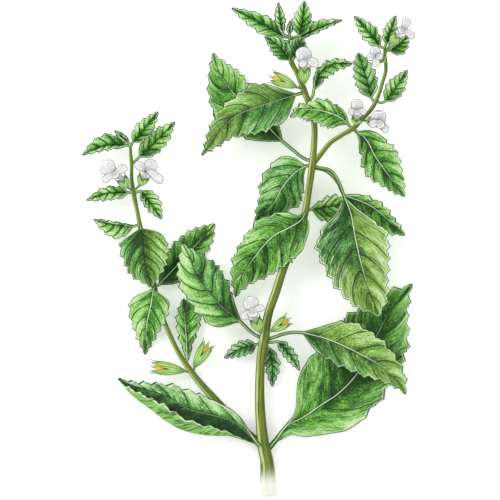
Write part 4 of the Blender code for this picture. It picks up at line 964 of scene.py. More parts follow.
@dataclass(frozen=True)
class Flower:
    """One calyx on its stalk, with a corolla of lobes or with ripe nutlets.

    A lobe has its angle in plan from +X in degrees, its distance from the middle of the face and
    its radius. A calyx without lobes holds nutlets.
    """

    name: str
    root: Point
    base: Point
    tip: Point
    radius: float
    face: Point = (0.0, 0.0, 0.0)
    lobes: tuple[tuple[float, float, float], ...] = ()

    STALK = 0.62
    NOTCH = 0.62
    OPENING = 0.16
    FLARE = 1.26
    WALL = 0.3
    FLOOR = 0.3
    RIBS = 15
    RIPPLE = 0.045
    TEETH = 5
    SIDES = 80
    RINGS = (9, 30, 14)
    THROAT = 1.25
    CLAW = 1.2
    DOMES = (-0.2, 0.12)
    HOOD = 0.9
    RUFFLE = 0.14
    OVERLAP = 0.3
    PETAL_THICKNESS = 0.17
    PETAL_GRID = (26, 23)
    TUBE_GRID = (43, 40)
    NUTLET_GRID = (15, 20)

    def frame(self) -> tuple[Grid, float, Grid, Grid, Grid]:
        """Base, length, direction and two crosswise directions of the calyx, the first of them level."""
        base, tip = np.array(self.base), np.array(self.tip)
        forward = unit(tip - base)
        level = unit(np.cross(forward, (0.0, 0.0, 1.0)))
        return base, float(np.linalg.norm(tip - base)), forward, level, np.cross(forward, level)

    def rim(self, angles: Grid) -> tuple[Grid, Grid]:
        """Height of the rim as a share of the length, and how much of a tooth is there, at each angle.

        Five pointed teeth rise from the notches, and a ripe calyx opens wider on its upper side.
        """
        phase = (self.TEETH * (angles - math.pi / 2) / (2 * math.pi) + 0.5) % 1.0 - 0.5
        tooth = np.clip(1.0 - 2.0 * np.abs(phase), 0.0, 1.0) ** 1.1
        notch = np.full_like(angles, self.NOTCH)
        if not self.lobes:
            upper = np.abs(np.angle(np.exp(1j * (angles - 1.5 * math.pi))))
            notch = notch - self.OPENING * np.clip(1.0 - upper / (math.pi / 4), 0.0, 1.0)
        return notch + (1.0 - notch) * tooth, tooth

    def bell(self, height: Grid) -> Grid:
        """Radius of the bell at a height from 0 to 1, as a smooth curve through seven sizes."""
        foot = self.STALK * 1.2 / self.radius
        heights = (0.0, 0.1, 0.3, 0.5, 0.7, 0.85, 1.0)
        return through(heights, (foot, 0.5, 0.86, 1.08, 1.08, 1.06, self.FLARE), height) * self.radius

    def calyx(self) -> Shell:
        """Close a calyx: the stalk, the ribbed outside up to the toothed rim, and the inside down."""
        base, length, forward, level, other = self.frame()
        angles = np.linspace(0.0, 2 * math.pi, self.SIDES, endpoint=False)
        ribs = self.RIBS * angles / (2 * math.pi)
        rim, tooth = self.rim(angles)
        half_gap = length * rim * (0.3 + 0.7 * (1.0 - tooth))
        rings: list[Grid] = []
        marks: dict[str, list[Grid]] = {"height": [], "rim": [], "inside": []}

        def add(ring: Grid, *values: Grid | float) -> None:
            """Keep a ring with its height, its distance from the rim and its share of inside."""
            rings.append(ring)
            for kept, value in zip(marks.values(), values):
                kept.append(np.broadcast_to(value, angles.shape))

        root = np.array(self.root)
        stalk, outside, inside = (np.linspace(0.0, 1.0, count) for count in self.RINGS)
        for share in stalk[:-1]:
            add(ring_at(root + (base - root) * share, level, other, self.STALK, angles), -0.2, FAR, 0.0)
        for share in outside:
            height = rim * share
            fade = smooth(height, 0.05, 0.3) * (1.0 - tooth * share)
            ripple = self.RIPPLE * np.cos(2 * math.pi * ribs) * fade
            ring = ring_at(base, level, other, self.bell(height) * (1.0 + ripple), angles)
            gap = np.minimum(half_gap * (1.0 - share), FAR)
            add(ring + (height * length)[:, None] * forward, height, gap, 0.0)
        for share in inside[::-1]:
            height = self.FLOOR + (rim - self.FLOOR) * share
            ring = ring_at(base, level, other, np.maximum(self.bell(height) - self.WALL, 0.3), angles)
            add(ring + (height * length - 0.02)[:, None] * forward, height, length * (rim - height), 1.0)
        floor = base + forward * length * self.FLOOR
        for share in (0.75, 0.5, 0.25, 0.05):
            add(floor + (rings[-1] - floor) * share, self.FLOOR, FAR, 1.0)
        whole = {name: np.array(values) for name, values in marks.items()}
        whole["ribs"] = np.broadcast_to(ribs, (len(rings), self.SIDES))
        return Shell.of_rings(np.array(rings), whole)

    def face_frame(self) -> tuple[Grid, Grid, Grid, Grid, float]:
        """Middle, normal and two directions of the corolla's face, and the first one's angle in plan."""
        _, _, forward, level, _ = self.frame()
        normal = unit(0.4 * forward + np.array((0.0, 0.0, 1.0)))
        return np.array(self.face), normal, level, np.cross(normal, level), math.atan2(level[1], level[0])

    def petal(self, order: int, angle: float, distance: float, radius: float) -> Shell:
        """Close one petal, a spoon from the throat to a round lobe.

        At the distance r along it the half width is a claw's until the lobe's disc is reached, then
        the disc's. The first petal is a hood, domed along and across, and the others are cupped. Each
        lies over the one before and is ruffled towards its margin.

        Args:
            order: Number of the petal; later ones lie on earlier ones.
            angle: Its direction in plan, in degrees.
            distance: From the face's middle to the lobe's.
            radius: The lobe's.

        Returns:
            The petal's shell.
        """
        middle, normal, first, second, turned = self.face_frame()
        turn = math.radians(angle) - turned
        ahead = math.cos(turn) * first + math.sin(turn) * second
        beside = np.cross(normal, ahead)
        reach = distance + radius
        near = min(0.55, distance - radius)
        rows, places = self.PETAL_GRID
        if near > 0.5:
            shares = np.sin(np.linspace(0.0, 1.0, rows) * math.pi / 2)
        else:
            shares = (1.0 - np.cos(np.linspace(0.0, math.pi, rows))) / 2
        v, s = np.meshgrid(shares, np.linspace(-1.0, 1.0, places), indexing="ij")
        r = near + (reach - near) * v
        disc = np.sqrt(np.maximum(radius**2 - (r - distance) ** 2, 0.0))
        wedge = self.CLAW + (radius - self.CLAW) * smooth(r, 0.0, distance) ** 0.6
        half = np.maximum(np.where((r > distance) | (distance < radius), disc, wedge), 0.04)
        ruffle = self.RUFFLE * np.sin(7.0 * s + 3.0 * order) * smooth(v, 0.4, 1.0) * np.abs(s)
        across = s * half
        height = -0.9 + 1.25 * smooth(np.abs(r), 0.5, 2.2) + 0.2 * r - 0.03 * r**2 + self.OVERLAP * order
        height = height + self.DOMES[order > 0] * across**2 / np.maximum(radius, 1.0) + ruffle
        if order == 0:
            height = height + self.HOOD * np.sin(np.clip((r - 0.8) / reach, 0, 1) * math.pi * 0.9)
        points = middle + r[..., None] * ahead - across[..., None] * beside + height[..., None] * normal
        normals = unit(np.cross(np.gradient(points, axis=1), np.gradient(points, axis=0)))
        thick = self.PETAL_THICKNESS * (1.0 - 0.5 * np.maximum(np.abs(s), v) ** 4)[..., None]
        rings = two_faced(points + normals * thick, points - normals * thick)
        margin = np.minimum(half * (1.0 - np.abs(s)), (1.0 - v) * reach)
        margin = np.minimum(margin, radius - np.abs(r - distance)) if distance < radius else margin
        marks = {"along": r, "across": across, "margin": margin}
        return Shell.of_rings(rings, {name: two_faced(values, values) for name, values in marks.items()})

    def tube(self) -> Shell:
        """Close the corolla's tube: up out of the calyx, bent to the face, and back down inside."""
        base, length, forward, level, other = self.frame()
        middle, normal, _, second, _ = self.face_frame()
        tube = self.radius - 1.1
        bend = base + forward * length * 0.86
        mean = unit(forward + normal)
        keys = [(base + forward * length * 0.45, other, tube * 0.8), (bend, np.cross(mean, level), tube)]
        for depth, share in ((1.4, 0.95), (0.35, 1.15), (0.0, 1.5), (0.2, 1.25), (1.3, 0.7), (1.8, 0.3)):
            keys.append((middle - normal * depth, second, self.THROAT * share))
        count, around = self.TUBE_GRID
        at = np.linspace(0.0, len(keys) - 1.0, count)
        centres, seconds, radii = (through(np.arange(len(keys)), column, at) for column in zip(*keys))
        angles = np.linspace(0.0, 2 * math.pi, around, endpoint=False)
        rings = np.array([ring_at(c, level, o, r, angles) for c, o, r in zip(centres, unit(seconds), radii)])
        shape = rings.shape[:2]
        marks = {
            "along": np.broadcast_to(np.where(at > 5.0, 0.0, 2.4)[:, None], shape),
            "across": np.broadcast_to((angles * 1.2)[None, :], shape),
            "margin": np.full(shape, 2.0),
        }
        return Shell.of_rings(rings, marks)

    def corolla(self) -> Shell:
        """Join the tube and the petals."""
        petals = [self.petal(order, *lobe) for order, lobe in enumerate(self.lobes)]
        return Shell.joined([self.tube(), *petals])

    def nutlets(self) -> Shell:
        """Join four egg-shaped nutlets that stand side by side in the calyx."""
        base, length, forward, level, other = self.frame()
        size = self.radius - 0.55
        rows, around = self.NUTLET_GRID
        angles = np.linspace(0.0, 2 * math.pi, around, endpoint=False)
        polar = np.linspace(0.02, 0.98, rows) * math.pi
        eggs = []
        for quarter in range(4):
            turn = (quarter + 0.5) * math.pi / 2
            centre = base + size * 0.46 * (math.cos(turn) * level + math.sin(turn) * other)
            rings = np.array([
                ring_at(centre + forward * (length * 0.66 - math.cos(p) * length * 0.15), level, other,
                        math.sin(p) * size * 0.56, angles) for p in polar])
            eggs.append(Shell.of_rings(rings, {"along": np.zeros(rings.shape[:2])}))
        return Shell.joined(eggs)


MAIN_STEM = Stem("main_stem", (
    (1, -8, 4.3, 4.3), (0.4, 0, 4, 4), (0, 8, 3.4, 3.4), (-1.5, 15.5, 3.6, 3.1), (-3, 29, 5.2, 2.65),
    (-3.5, 43, 7, 2.4), (-3, 56.5, 8.8, 2.3), (-1.5, 67, 10.2, 2.6), (0.5, 79, 11.8, 2.2),
    (4.5, 91, 13.4, 2.2), (8, 102, 14.8, 2.1), (13, 113, 16.2, 1.9), (18, 127.5, 18, 1.8),
    (20, 139, 19.2, 1.6), (21.5, 150.5, 20.2, 1.8), (22.5, 161, 21, 1.55), (22.5, 171, 21.8, 1.5),
    (20, 180, 22.5, 1.45), (17.5, 187, 23, 1.6), (14.5, 194.5, 23.5, 1.3), (11.5, 200.5, 24, 1.3),
    (11, 208.5, 24.6, 1.05), (11, 211.6, 24.9, 1),
))
LEFT_SHOOT = Stem("left_shoot", (
    (-1, 15, 3.6, 2), (-6, 19.2, 3.1, 2), (-10.5, 23, 2.8, 1.9), (-20, 33, 2.6, 1.9), (-27.5, 41, 2.9, 1.9),
    (-32, 46, 3.4, 1.75), (-37, 52.5, 4.3, 1.5), (-42, 60, 5.2, 1.25), (-46.5, 69, 6, 1.2),
    (-50.5, 79, 6.8, 1.2), (-53.5, 90, 7.8, 1.3), (-56, 102, 8.8, 1.1), (-59, 112.5, 9.6, 1.05),
    (-61, 122, 10.3, 1.2), (-62.5, 130, 11, 1), (-64, 137.5, 11.6, 1.2), (-65, 145, 12.2, 0.95),
    (-65, 152, 12.8, 0.95), (-65.5, 158, 13.3, 0.8), (-65.6, 160.2, 13.6, 0.8),
), 0.35)
RIGHT_SHOOT = Stem("right_shoot", (
    (22, 151.5, 20.3, 1.4), (25.5, 156, 21, 1.35), (30, 161.5, 22, 1.25), (36, 165.5, 23, 1.15),
    (41, 168.5, 24, 1.3), (45.5, 173, 24.8, 1.05), (50, 178, 25.6, 1.1), (53, 184, 26.2, 1),
    (55, 190.5, 26.8, 0.95), (56.5, 196, 27.2, 0.95), (56.4, 200, 27.5, 0.95), (56, 204, 27.8, 0.8),
    (55.9, 206.6, 28.1, 0.8),
), 0.35)

LEAVES = (
    Leaf("basal_leaf_left", ((-1.6, 14.6, 4.6), (-5, 18, 7.9), (-16.4, 28.3, 9.3), (-27.4, 31.4, 8.8),
         (-37, 33.8, 7.4), (-48.5, 39.8, 5.2), (-65.8, 45.4, 1.7), (-71.9, 48.5, 0.5)), 1,
         ((5.6, 9.8, 10.6, 9.2, 3.8), (1.8, 6.2, 9, 6, 2.4)), 10, -0.05, -0.1, curl=6.4, rests=True,
         kind=Kind.DARK, laterals=6.5, plain=(0.07, 0.3), tint=Tint(left=-0.45, right=0.45, base=-0.1,
         tip=0.2, midrib_shade=-0.4, edge=0.1, rib=0.25, rim=0.8)),
    Leaf("basal_leaf_right", ((0.4, 14, 3.4), (4.5, 19, 4.4), (10.1, 25.9, 5.2), (16.8, 29.3, 5.8),
         (25.9, 35.5, 6.4), (33.9, 40.8, 6.6), (41.3, 48, 6.2), (54.2, 71.2, 4), (60.5, 82.4, 2.4),
         (70.3, 94.1, 0.4)), 1, ((1.6, 20.4, 21.8, 18.4, 7.4), (6.6, 16.8, 17.2, 17, 7)), 12, -0.06, -0.28,
         2.2, 1.3, rests=True, laterals=4.5, tint=Tint(left=0, right=0.18, base=0.05, tip=0.15, midrib_shade=-0.6,
         edge=0.4, rim=0.5, shade=(0.6, 0.17, -0.6)), plain=(0.36, 0.28)),
    Leaf("middle_leaf_right", ((-0.8, 67.4, 9.8), (2, 68, 10.9), (5.5, 69.3, 12.4), (10.6, 70.7, 14.4),
         (17.5, 70.7, 16), (28.3, 67.8, 17.6), (38.4, 63.6, 17.6), (46.3, 59.5, 16.4), (55.2, 54.2, 14),
         (65, 44.2, 9.5), (66.7, 40.9, 8.2)), 4, ((4.2, 12.2, 12.4, 9.4, 4.2), (5.8, 10, 9.8, 7.6, 3.2)), 9,
         -0.18, -0.3, tint=Tint(left=0.1, tip=0, midrib_shade=-0.25, lime=(0.75, 0.3, 0.75), blue=(0.2, 0.7, 0))),
    Leaf("middle_leaf_left", ((-1.9, 67.6, 10.4), (-6.6, 70.3, 12), (-13, 76.3, 14), (-22.1, 84, 15.6),
         (-27, 89.3, 15.8), (-32.2, 95.5, 15.4), (-35, 101, 14.6), (-37.2, 107, 13.2),
         (-40.8, 113.9, 11.2)), 2, ((7.6, 11.4, 10.8, 9.2, 4.4), (3.6, 9.2, 11.6, 10.6, 3.2)), 9, -0.22,
         -0.25, tint=Tint(left=0.5, right=0, base=-0.4, tip=0.5, midrib_shade=-0.2, edge=0, blue=(0.2, 0.6, 0.1),
         rib=0.2, rim=0.2)),
    Leaf("small_leaf_left", ((-1.8, 66, 9.6), (-5.4, 64.9, 8.4), (-12.5, 62.9, 7.2), (-20.6, 58.4, 4.6)), 1,
         ((3, 4.2, 4, 3, 1.5), (2.6, 4, 3.8, 3, 1.4)), 5, -0.3, 0.1, 1.1, 0.7, Build.SMALL, kind=Kind.DARK,
         tint=Tint(left=-0.2, right=0.1, midrib_shade=-0.3, blue=(0.8, 0.8, 0.8))),
    Leaf("small_leaf_centre", ((-1.4, 64.6, 9), (1.1, 63.2, 7), (2.4, 57, 5.6), (2.6, 44.6, 4.2)), 1,
         ((2.2, 3.8, 3.8, 3, 1.4),), 5, -0.2, -0.35, 1.1, 0.7, Build.SMALL, kind=Kind.DARK,
         tint=Tint(left=-0.1, right=0, midrib_shade=-0.3, blue=(0.8, 0.8, 0.8))),
    Leaf("small_leaf_right", ((-1, 65.9, 9.4), (2.4, 66, 9.3), (5.4, 66.3, 9.8), (9.8, 61.5, 10.4),
         (15.8, 52.5, 8.8)), 2, ((2.4, 3.2, 3.2, 2.6, 1.3), (2, 3, 3, 2.4, 1.2)), 5, -0.1, -0.2, 1, 0.7,
         Build.SMALL, kind=Kind.DARK, tint=Tint(left=-0.1, right=0, midrib_shade=-0.3, blue=(0.8, 0.8, 0.8))),
    Leaf("upper_leaf_left", ((18.1, 128, 18.2), (17.6, 127.3, 20.8), (16.6, 125.4, 22.2),
         (11.2, 121.6, 23.2), (3.4, 117.6, 22.8), (-4.8, 108.7, 19.8), (-13, 95.5, 12.2),
         (-15.2, 87.8, 7.6)), 1, ((9, 15.6, 14.4, 10.4, 3.8), (5.8, 10.4, 10.2, 8.6, 3.6)), 9, -0.14, -0.22,
         tint=Tint(left=-0.1, right=0.1, base=-0.1, midrib_shade=-0.25, edge=0.35, rim=0.45)),
    Leaf("upper_leaf_right", ((18.4, 129, 18.2), (21.4, 130, 16.8), (30, 131.3, 14.8), (40.8, 132.6, 12.4)),
         1, ((2.2, 4.6, 5.6, 5, 2.4), (4.4, 7.6, 7, 5, 2.4)), 5, -0.1, -0.3, 1.4, 0.75, Build.SMALL),
    Leaf("fork_leaf_left_front", ((21.3, 150.4, 20), (18.4, 150.6, 18.9), (15.6, 149.2, 18.6),
         (7.4, 140.8, 16.6), (2.9, 132.8, 13.6), (-2.9, 127.4, 10.8), (-5.8, 123.8, 8.8)), 1,
         ((4.8, 10.4, 12, 6.8, 2.6), (7.6, 11.4, 10.6, 8.2, 3)), 8, -0.34, 0.02, tint=Tint(left=0,
         right=0.25, base=0, tip=-0.5, midrib_shade=-0.2, edge=0.2, blue=(0.6, 0.7, 0.1), rim=0.4)),
    Leaf("fork_leaf_left_back", ((21.6, 152.8, 20.2), (17.4, 154.4, 16.6), (12, 158.8, 13), (7, 163, 10.6),
         (-2.4, 172.8, 8.4), (-15.8, 185.8, 5.4), (-18.7, 189.6, 4.5), (-22, 194.4, 3.2), (-25, 201.1, 1.4),
         (-25.9, 205.6, 0.4)), 3, ((6.5, 14, 15.4, 11, 3.4), (4, 7.8, 8.4, 8.8, 4.6)), 10, -0.1, -0.15,
         rests=True, tint=Tint(left=0.05, right=0.25, base=-0.5, tip=0.2, midrib_shade=-0.3, edge=0.4)),
    Leaf("fork_leaf_right_front", ((21.8, 150.7, 20.2), (24.9, 149.7, 20.7), (30.2, 148.4, 21.9),
         (34, 143.2, 23), (37, 135.1, 23.8), (39.4, 129.1, 24), (41.6, 118, 23.4), (44.4, 105.4, 21),
         (47.5, 95, 17.4), (52.6, 82.1, 11.4), (53.9, 78.2, 9.2)), 4,
         ((3.6, 15.2, 15.2, 11.6, 6.6), (7.5, 18.8, 18, 14.2, 7.2)), 10, -0.26, -0.24, 1.8,
         tint=Tint(left=0.1, right=-0.15, midrib_shade=-0.2, lime=(0.85, 0, 0.8), blue=(0, 0.9, 0), rim=1)),
    Leaf("fork_leaf_right_back", ((21.8, 149.9, 19.4), (28.6, 148.1, 17.2), (33.8, 142.9, 17.2),
         (37, 136.4, 17.4), (49.4, 131.5, 17.4), (59, 123.8, 14.6), (66.2, 117.4, 10.2)), 3,
         ((2.2, 4.2, 4.8, 3.6, 2), (3, 6.6, 8, 6.4, 3.4)), 7, -0.1, -0.35,
         tint=Tint(left=0.3, right=-0.2, midrib_shade=-0.3, edge=0.5)),
    Leaf("crown_leaf_left", ((17.8, 185.8, 23), (15.6, 185, 24.8), (13.4, 184.4, 25.4), (2.2, 181, 26.4),
         (-6.7, 178.1, 26), (-14.9, 174.5, 24.4), (-19.9, 170.4, 22), (-27.4, 160.5, 15.8),
         (-31.4, 155.7, 12.2)), 2, ((8.2, 12.6, 11.8, 7.6, 2.8), (4.8, 11.4, 8.8, 6.6, 3)), 10, -0.42,
         -0.34, tint=Tint(left=0.05, right=-0.05, base=0, tip=-0.2, midrib_shade=-0.3, edge=0.25,
         lime=(0, 0.55, 0.8), blue=(0.8, 0.5, 0), rib=0.4, rim=0.4)),
    Leaf("crown_leaf_right", ((19.6, 181.6, 22.5), (21.4, 183.2, 22.8), (22.4, 187.2, 23.4),
         (25.4, 194.9, 24.8), (31.7, 199.2, 24.4), (40.8, 199.4, 20.8)), 2,
         ((1.4, 2.6, 2.8, 2.6, 1.6), (2.4, 4.2, 4.6, 4, 2.1)), 6, -0.1, -0.3, 1.2, 0.75, Build.SMALL),
    Leaf("crown_bract_left",
         ((11.9, 199.2, 23.9), (10.4, 201.2, 25.4), (6.2, 206.9, 26.8), (-1.2, 212.4, 25.8)), 1,
         ((3, 4.8, 4.8, 3.6, 1.6),), 5, -0.3, -0.1, 1, 0.7, Build.SMALL, kind=Kind.YOUNG,
         tint=Tint(left=-0.3, right=0, blue=(0.7, 0.6, 0.3))),
    Leaf("crown_bract_right", ((12, 200.8, 24), (12.9, 202.4, 27), (14.3, 206.4, 29.8), (16.8, 212, 30)), 1,
         ((3.4, 5.2, 5.2, 4, 1.8),), 5, -0.2, -0.3, 1.1, 0.7, Build.SMALL, kind=Kind.YOUNG,
         tint=Tint(left=-0.2, right=-0.3, blue=(0.8, 0.8, 0.4))),
    Leaf("right_shoot_leaf_left", ((40.3, 168.2, 23.9), (38.4, 170.6, 25.8), (36.2, 172.8, 27),
         (30.2, 175.7, 28), (22.6, 177.4, 27.8), (14.9, 177.2, 26.2), (11, 173.8, 24.6)), 1,
         ((4.6, 7.6, 6.8, 6, 3.6), (2.6, 5.2, 5.8, 3.4, 1.6)), 8, -0.2, -0.3, 1.3, 0.75,
         tint=Tint(left=0.1, right=0.2, tip=0.3, midrib_shade=-0.2)),
    Leaf("right_shoot_leaf_right", ((41.2, 168.4, 24), (43.2, 166.4, 23.8), (46.1, 164.2, 24.2),
         (51.6, 155, 21.6), (57.6, 146.9, 15.2), (61.9, 141.6, 8.2), (66.4, 136.2, 0.4)), 1,
         ((4.8, 9.6, 10.6, 7.6, 3.6), (3.6, 6.6, 9, 6, 2.8)), 9, -0.28, -0.2, rests=True,
         tint=Tint(left=0.35, right=0, base=-0.1, midrib_shade=-0.4)),
    Leaf("right_shoot_bract_left",
         ((51.3, 180.6, 25.8), (49.6, 183, 26.8), (46.6, 194, 27.8), (43.4, 204.5, 24.4)), 1,
         ((3.4, 5.6, 5.6, 4.8, 2.8), (3.2, 5.4, 5.4, 4.6, 2.6)), 6, -0.3, -0.1, 1.2, 0.7, Build.SMALL,
         tint=Tint(left=0, right=0, base=-0.1, tip=-0.2, blue=(0.5, 0.5, 0.3))),
    Leaf("right_shoot_bract_right", ((51.8, 181.6, 26), (54.4, 180.6, 26), (56.4, 181.4, 26.2),
         (61.5, 188, 26.6), (66.9, 196.3, 22.4)), 2, ((2.8, 4.6, 4.8, 3.6, 1.6), (2.8, 4.4, 4.4, 3.4, 1.6)),
         6, -0.1, -0.3, 1.1, 0.7, Build.SMALL),
    Leaf("left_shoot_leaf_low", ((-39.9, 56.9, 4.8), (-38.3, 57.6, 5.8), (-38.6, 66, 6), (-39.4, 76, 5.6),
         (-40.2, 87, 4)), 1, ((1.6, 3.6, 4.8, 4.4, 2.4), (1.8, 3.8, 7, 8, 4)), 6, -0.1, -0.1, 1.2, 0.75,
         tint=Tint(left=0.3, right=0, tip=-0.3, midrib_shade=-0.4, edge=0.4)),
    Leaf("left_shoot_leaf_back", ((-53.6, 93, 8), (-51.6, 94, 6.2), (-38.4, 108, 3.4), (-25.2, 123.1, 0.4)),
         1, ((4, 8.2, 9, 7.8, 3.8), (4.5, 7.5, 7.5, 6.4, 3.6)), 9, -0.1, -0.1, 1.4, 0.8, rests=True,
         tint=Tint(left=0, base=-0.5, tip=0.4, midrib_shade=-0.5, edge=0.4)),
    Leaf("left_shoot_leaf_hanging", ((-54.2, 92.4, 8.1), (-54.8, 91.4, 10.6), (-55.5, 86.4, 12.4),
         (-58, 74.4, 9.6), (-58.8, 59.9, 0.4)), 1, ((7, 9.4, 8.6, 5.8, 2.4), (6.4, 10.4, 8.4, 5.2, 2.3)), 7,
         -0.18, -0.2, 1.5, 0.8, rests=True, tint=Tint(left=0.1, right=0.35, base=0, tip=-0.1, midrib_shade=-0.3)),
    Leaf("left_shoot_leaf_front", ((-60.9, 121.6, 10.3), (-60.7, 120.6, 13.2), (-59.4, 115.7, 15),
         (-59, 109, 16), (-57.8, 101.5, 16), (-55.4, 92.4, 14.2)), 1,
         ((6.6, 12.2, 11.8, 9.8, 4.2), (9, 12, 10.6, 9, 3.6)), 8, -0.24, -0.22, 1.6, 0.75,
         tint=Tint(left=0.1, base=-0.3, tip=0, midrib_shade=-0.5, lime=(0.5, 0, 0.3), blue=(0, 0.6, 0), rib=0,
         rim=0.3)),
    Leaf("left_shoot_leaf_side",
         ((-61.2, 122.6, 10.3), (-64.2, 121.8, 9.4), (-74, 122.6, 8.2), (-83.5, 125.1, 4.4)), 1,
         ((3.2, 6.4, 6.4, 4.6, 2), (0.9, 1.7, 1.9, 1.6, 0.9)), 5, -0.2, -0.1, 1.1, 0.7, Build.SMALL),
    Leaf("left_shoot_bract_right", ((-64, 137.2, 11.6), (-61.8, 138.4, 12), (-60.2, 138.6, 12.2),
         (-56, 133, 12.2), (-50.6, 125.3, 9)), 2, ((3.2, 5, 5, 3.8, 1.8), (2.4, 3.4, 3.4, 2.8, 1.4)), 5,
         -0.2, -0.3, 1.1, 0.7, Build.SMALL),
    Leaf("left_shoot_bract_left",
         ((-64.2, 137.8, 11.6), (-66.8, 138, 10.9), (-76.5, 137.6, 9.8), (-86.9, 134.4, 5.8)), 1,
         ((2.4, 3.6, 3.6, 2.8, 1.3),), 5, -0.3, -0.1, 1, 0.7, Build.SMALL),
    Leaf("left_shoot_bract_top", ((-65.1, 151.6, 12.8), (-62.8, 153.6, 12.2), (-61.1, 155.3, 12),
         (-53, 163, 12), (-44.2, 172, 9)), 2, ((3.2, 5, 5, 4, 1.8),), 6, -0.1, -0.3, 1.2, 0.7, Build.SMALL),
)


def young_leaf(path: tuple[Point, ...], sides: tuple[tuple[float, ...], ...], teeth: int, left_slope: float,
               right_slope: float, tooth_depth: float) -> Leaf:
    """One of the young leaves that are joined at a shoot's tip."""
    return Leaf("young", path, 1, sides, teeth, left_slope, right_slope, tooth_depth, 0.7, Build.SMALL,
                tint=Tint(left=0.2, right=-0.1, midrib_shade=-0.5, edge=0.4))


TIP_LEAVES = {
    "crown_tip_leaves": (
        young_leaf(((10.6, 211.6, 24.9), (8.2, 212.2, 24.8), (-3.4, 218.9, 23), (-17, 226.4, 15)),
                   ((2.8, 4.6, 4.4, 3.4, 1.5),), 5, -0.2, -0.3, 1),
        young_leaf(((10.8, 211.8, 25.2), (7.4, 213.6, 26.2), (6.2, 220, 27), (5.3, 228.5, 24.2)),
                   ((1.4, 2.6, 2.8, 2.2, 1),), 5, 0.6, 0.3, 0.8),
        young_leaf(((11.4, 211.6, 25.2), (15.5, 212.7, 24.8), (16.8, 219.5, 25.6), (17.8, 229.4, 22.8)),
                   ((3, 5, 4.8, 3.6, 1.6),), 5, -0.3, -0.1, 1),
        young_leaf(((11.6, 211, 24.8), (14.8, 211, 24.4), (26, 217, 22), (36, 220.6, 15)),
                   ((2.2, 3.8, 4, 3, 1.4), (1.2, 1.8, 2, 1.6, 0.9)), 5, -0.2, -0.2, 0.9),
        young_leaf(((11, 211.6, 25.4), (10.6, 213.6, 27), (11, 219.6, 30)), ((1.2, 1.8, 1.6, 1.2, 0.6),), 3,
                   0.3, 0.3, 0.4),
    ),
    "right_shoot_tip_leaves": (
        young_leaf(((55.8, 206.4, 28.1), (53.6, 207.4, 28.2), (48.5, 214, 27.8), (41.6, 222, 23)),
                   ((2.6, 4, 4.2, 3.2, 1.5),), 5, -0.3, -0.1, 1),
        young_leaf(((56, 206.6, 28.2), (56.6, 208.6, 28.6), (58.6, 214.8, 28.6), (61.3, 222.2, 25)),
                   ((2.2, 3.4, 3.4, 2.6, 1.2),), 5, -0.2, -0.2, 0.9),
        young_leaf(((56.2, 206.2, 28), (58.2, 205.4, 27.6), (62.6, 208, 26.4), (67.2, 213.3, 22.6)),
                   ((1.3, 2.1, 2.3, 1.9, 1), (2.8, 4.8, 4.8, 3.8, 2)), 5, -0.1, -0.3, 1),
    ),
    "left_shoot_tip_leaves": (
        young_leaf(((-65.8, 160.3, 13.6), (-67.6, 160.7, 13.8), (-77, 160.6, 13.4), (-88.8, 156.1, 8.6)),
                   ((1.6, 2.6, 2.7, 2.1, 1), (3.4, 5.4, 5.6, 4.2, 1.9)), 5, -0.1, -0.3, 1.1),
        young_leaf(((-65.4, 160.4, 13.8), (-64.2, 162.2, 15), (-59, 168.2, 16.4), (-52.2, 176.8, 13.4)),
                   ((2.8, 4.3, 4.3, 3.3, 1.5),), 5, -0.1, -0.3, 1),
        young_leaf(((-65.8, 160.6, 13.9), (-66.6, 162.2, 15.2), (-73, 167.6, 16.6)),
                   ((1.3, 1.8, 1.8, 1.4, 0.7),), 3, 0.3, 0.3, 0.5),
    ),
}

